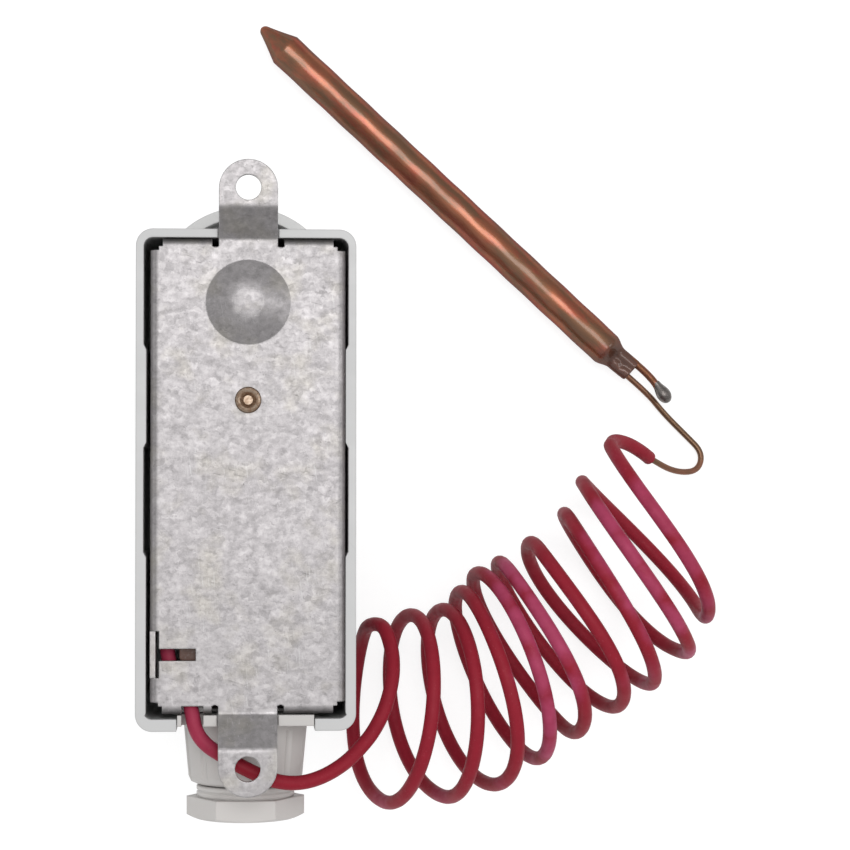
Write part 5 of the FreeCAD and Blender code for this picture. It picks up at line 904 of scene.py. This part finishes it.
class THERMOSTAT_OT_sheet_metal(Piece, bpy.types.Operator):
    """Finishes the galvanised base plate, its rivet and the steel parts of the works"""
    bl_idname = "thermostat.sheet_metal"
    bl_label = "Sheet metal and fixings"

    def execute(self, context):
        finish = context.scene.thermostat_finish
        repaint(galvanised(finish), "base_plate", "mechanism_frame", "frame_bridge")
        brass = metal("Rivet brass", finish.brass, finish.brass_stain, roughness=0.36, grain=1500.0,
                      depth=0.06)
        repaint(brass, "base_rivet", "cover_post", "spindle_bush", "spring_seat", "capsule_button",
                "terminal_clamps", "contact_strips", "earth_screw")
        repaint(metal("Plated steel", finish.plating, finish.plating_stain),
                "cover_screw", "spindle", "spindle_clip", "range_spring", "lever", "lever_pin",
                "switch_screws", "terminal_screws")
        repaint(metal("Inner capillary", finish.inner_copper, finish.inner_stain),
                "inner_capillary", "diaphragm_capsule")
        return {"FINISHED"}


class THERMOSTAT_OT_mouldings(Piece, bpy.types.Operator):
    """Finishes the cover, the gland, the knob and the small plastic parts"""
    bl_idname = "thermostat.mouldings"
    bl_label = "Plastic mouldings"

    def execute(self, context):
        finish = context.scene.thermostat_finish
        repaint(plastic("Light grey moulding", finish.cover), "cover")
        repaint(plastic("Warm grey moulding", finish.gland, roughness=0.46), "gland_body")
        repaint(plastic("Gland nut moulding", finish.nut, roughness=0.46), "gland_nut")
        repaint(plastic("White moulding", finish.knob, roughness=0.38), "knob")
        repaint(plastic("Black rubber", finish.rubber, roughness=0.6, wear=0.1), "gland_seal")
        repaint(plastic("Switch moulding", finish.switch_case, roughness=0.4, wear=0.1), "switch_body")
        repaint(plastic("Brown moulding", finish.moulding, roughness=0.42, wear=0.1), "terminal_strip")
        repaint(plastic("Plunger moulding", finish.plunger, roughness=0.4), "switch_plunger")
        return {"FINISHED"}


class THERMOSTAT_PT_parts(bpy.types.Panel):
    """Lists the pieces of the thermostat and the sizes and colours they are made from"""
    bl_label = "Strap-on thermostat"
    bl_idname = "THERMOSTAT_PT_parts"
    bl_space_type = "VIEW_3D"
    bl_region_type = "UI"
    bl_category = "Thermostat"

    def draw(self, context):
        layout = self.layout
        for operator in OPERATORS:
            layout.operator(operator.bl_idname)
        for attribute, group in SETTINGS.items():
            box = layout.box()
            box.label(text=group.__doc__)
            for key in group.__annotations__:
                box.prop(getattr(context.scene, attribute), key)


SETTINGS = {
    "thermostat_studio": StudioSettings,
    "thermostat_sleeve": SleeveSettings,
    "thermostat_capillary": CapillarySettings,
    "thermostat_bulb": BulbSettings,
    "thermostat_finish": FinishSettings,
}
OPERATORS = [
    THERMOSTAT_OT_studio,
    THERMOSTAT_OT_sleeve,
    THERMOSTAT_OT_capillary,
    THERMOSTAT_OT_bulb,
    THERMOSTAT_OT_sheet_metal,
    THERMOSTAT_OT_mouldings,
]


def register():
    for group in SETTINGS.values():
        bpy.utils.register_class(group)
    for attribute, group in SETTINGS.items():
        setattr(bpy.types.Scene, attribute, bpy.props.PointerProperty(type=group))
    for operator in OPERATORS:
        bpy.utils.register_class(operator)
    bpy.utils.register_class(THERMOSTAT_PT_parts)


def unregister():
    bpy.utils.unregister_class(THERMOSTAT_PT_parts)
    for operator in reversed(OPERATORS):
        bpy.utils.unregister_class(operator)
    for attribute, group in SETTINGS.items():
        delattr(bpy.types.Scene, attribute)
        bpy.utils.unregister_class(group)


def main():
    """Makes every piece in order."""
    register()
    bpy.ops.thermostat.studio()
    bpy.ops.thermostat.sleeve()
    bpy.ops.thermostat.capillary()
    bpy.ops.thermostat.bulb()
    bpy.ops.thermostat.sheet_metal()
    bpy.ops.thermostat.mouldings()
    bpy.context.view_layer.update()


if __name__ == "__main__":
    main()
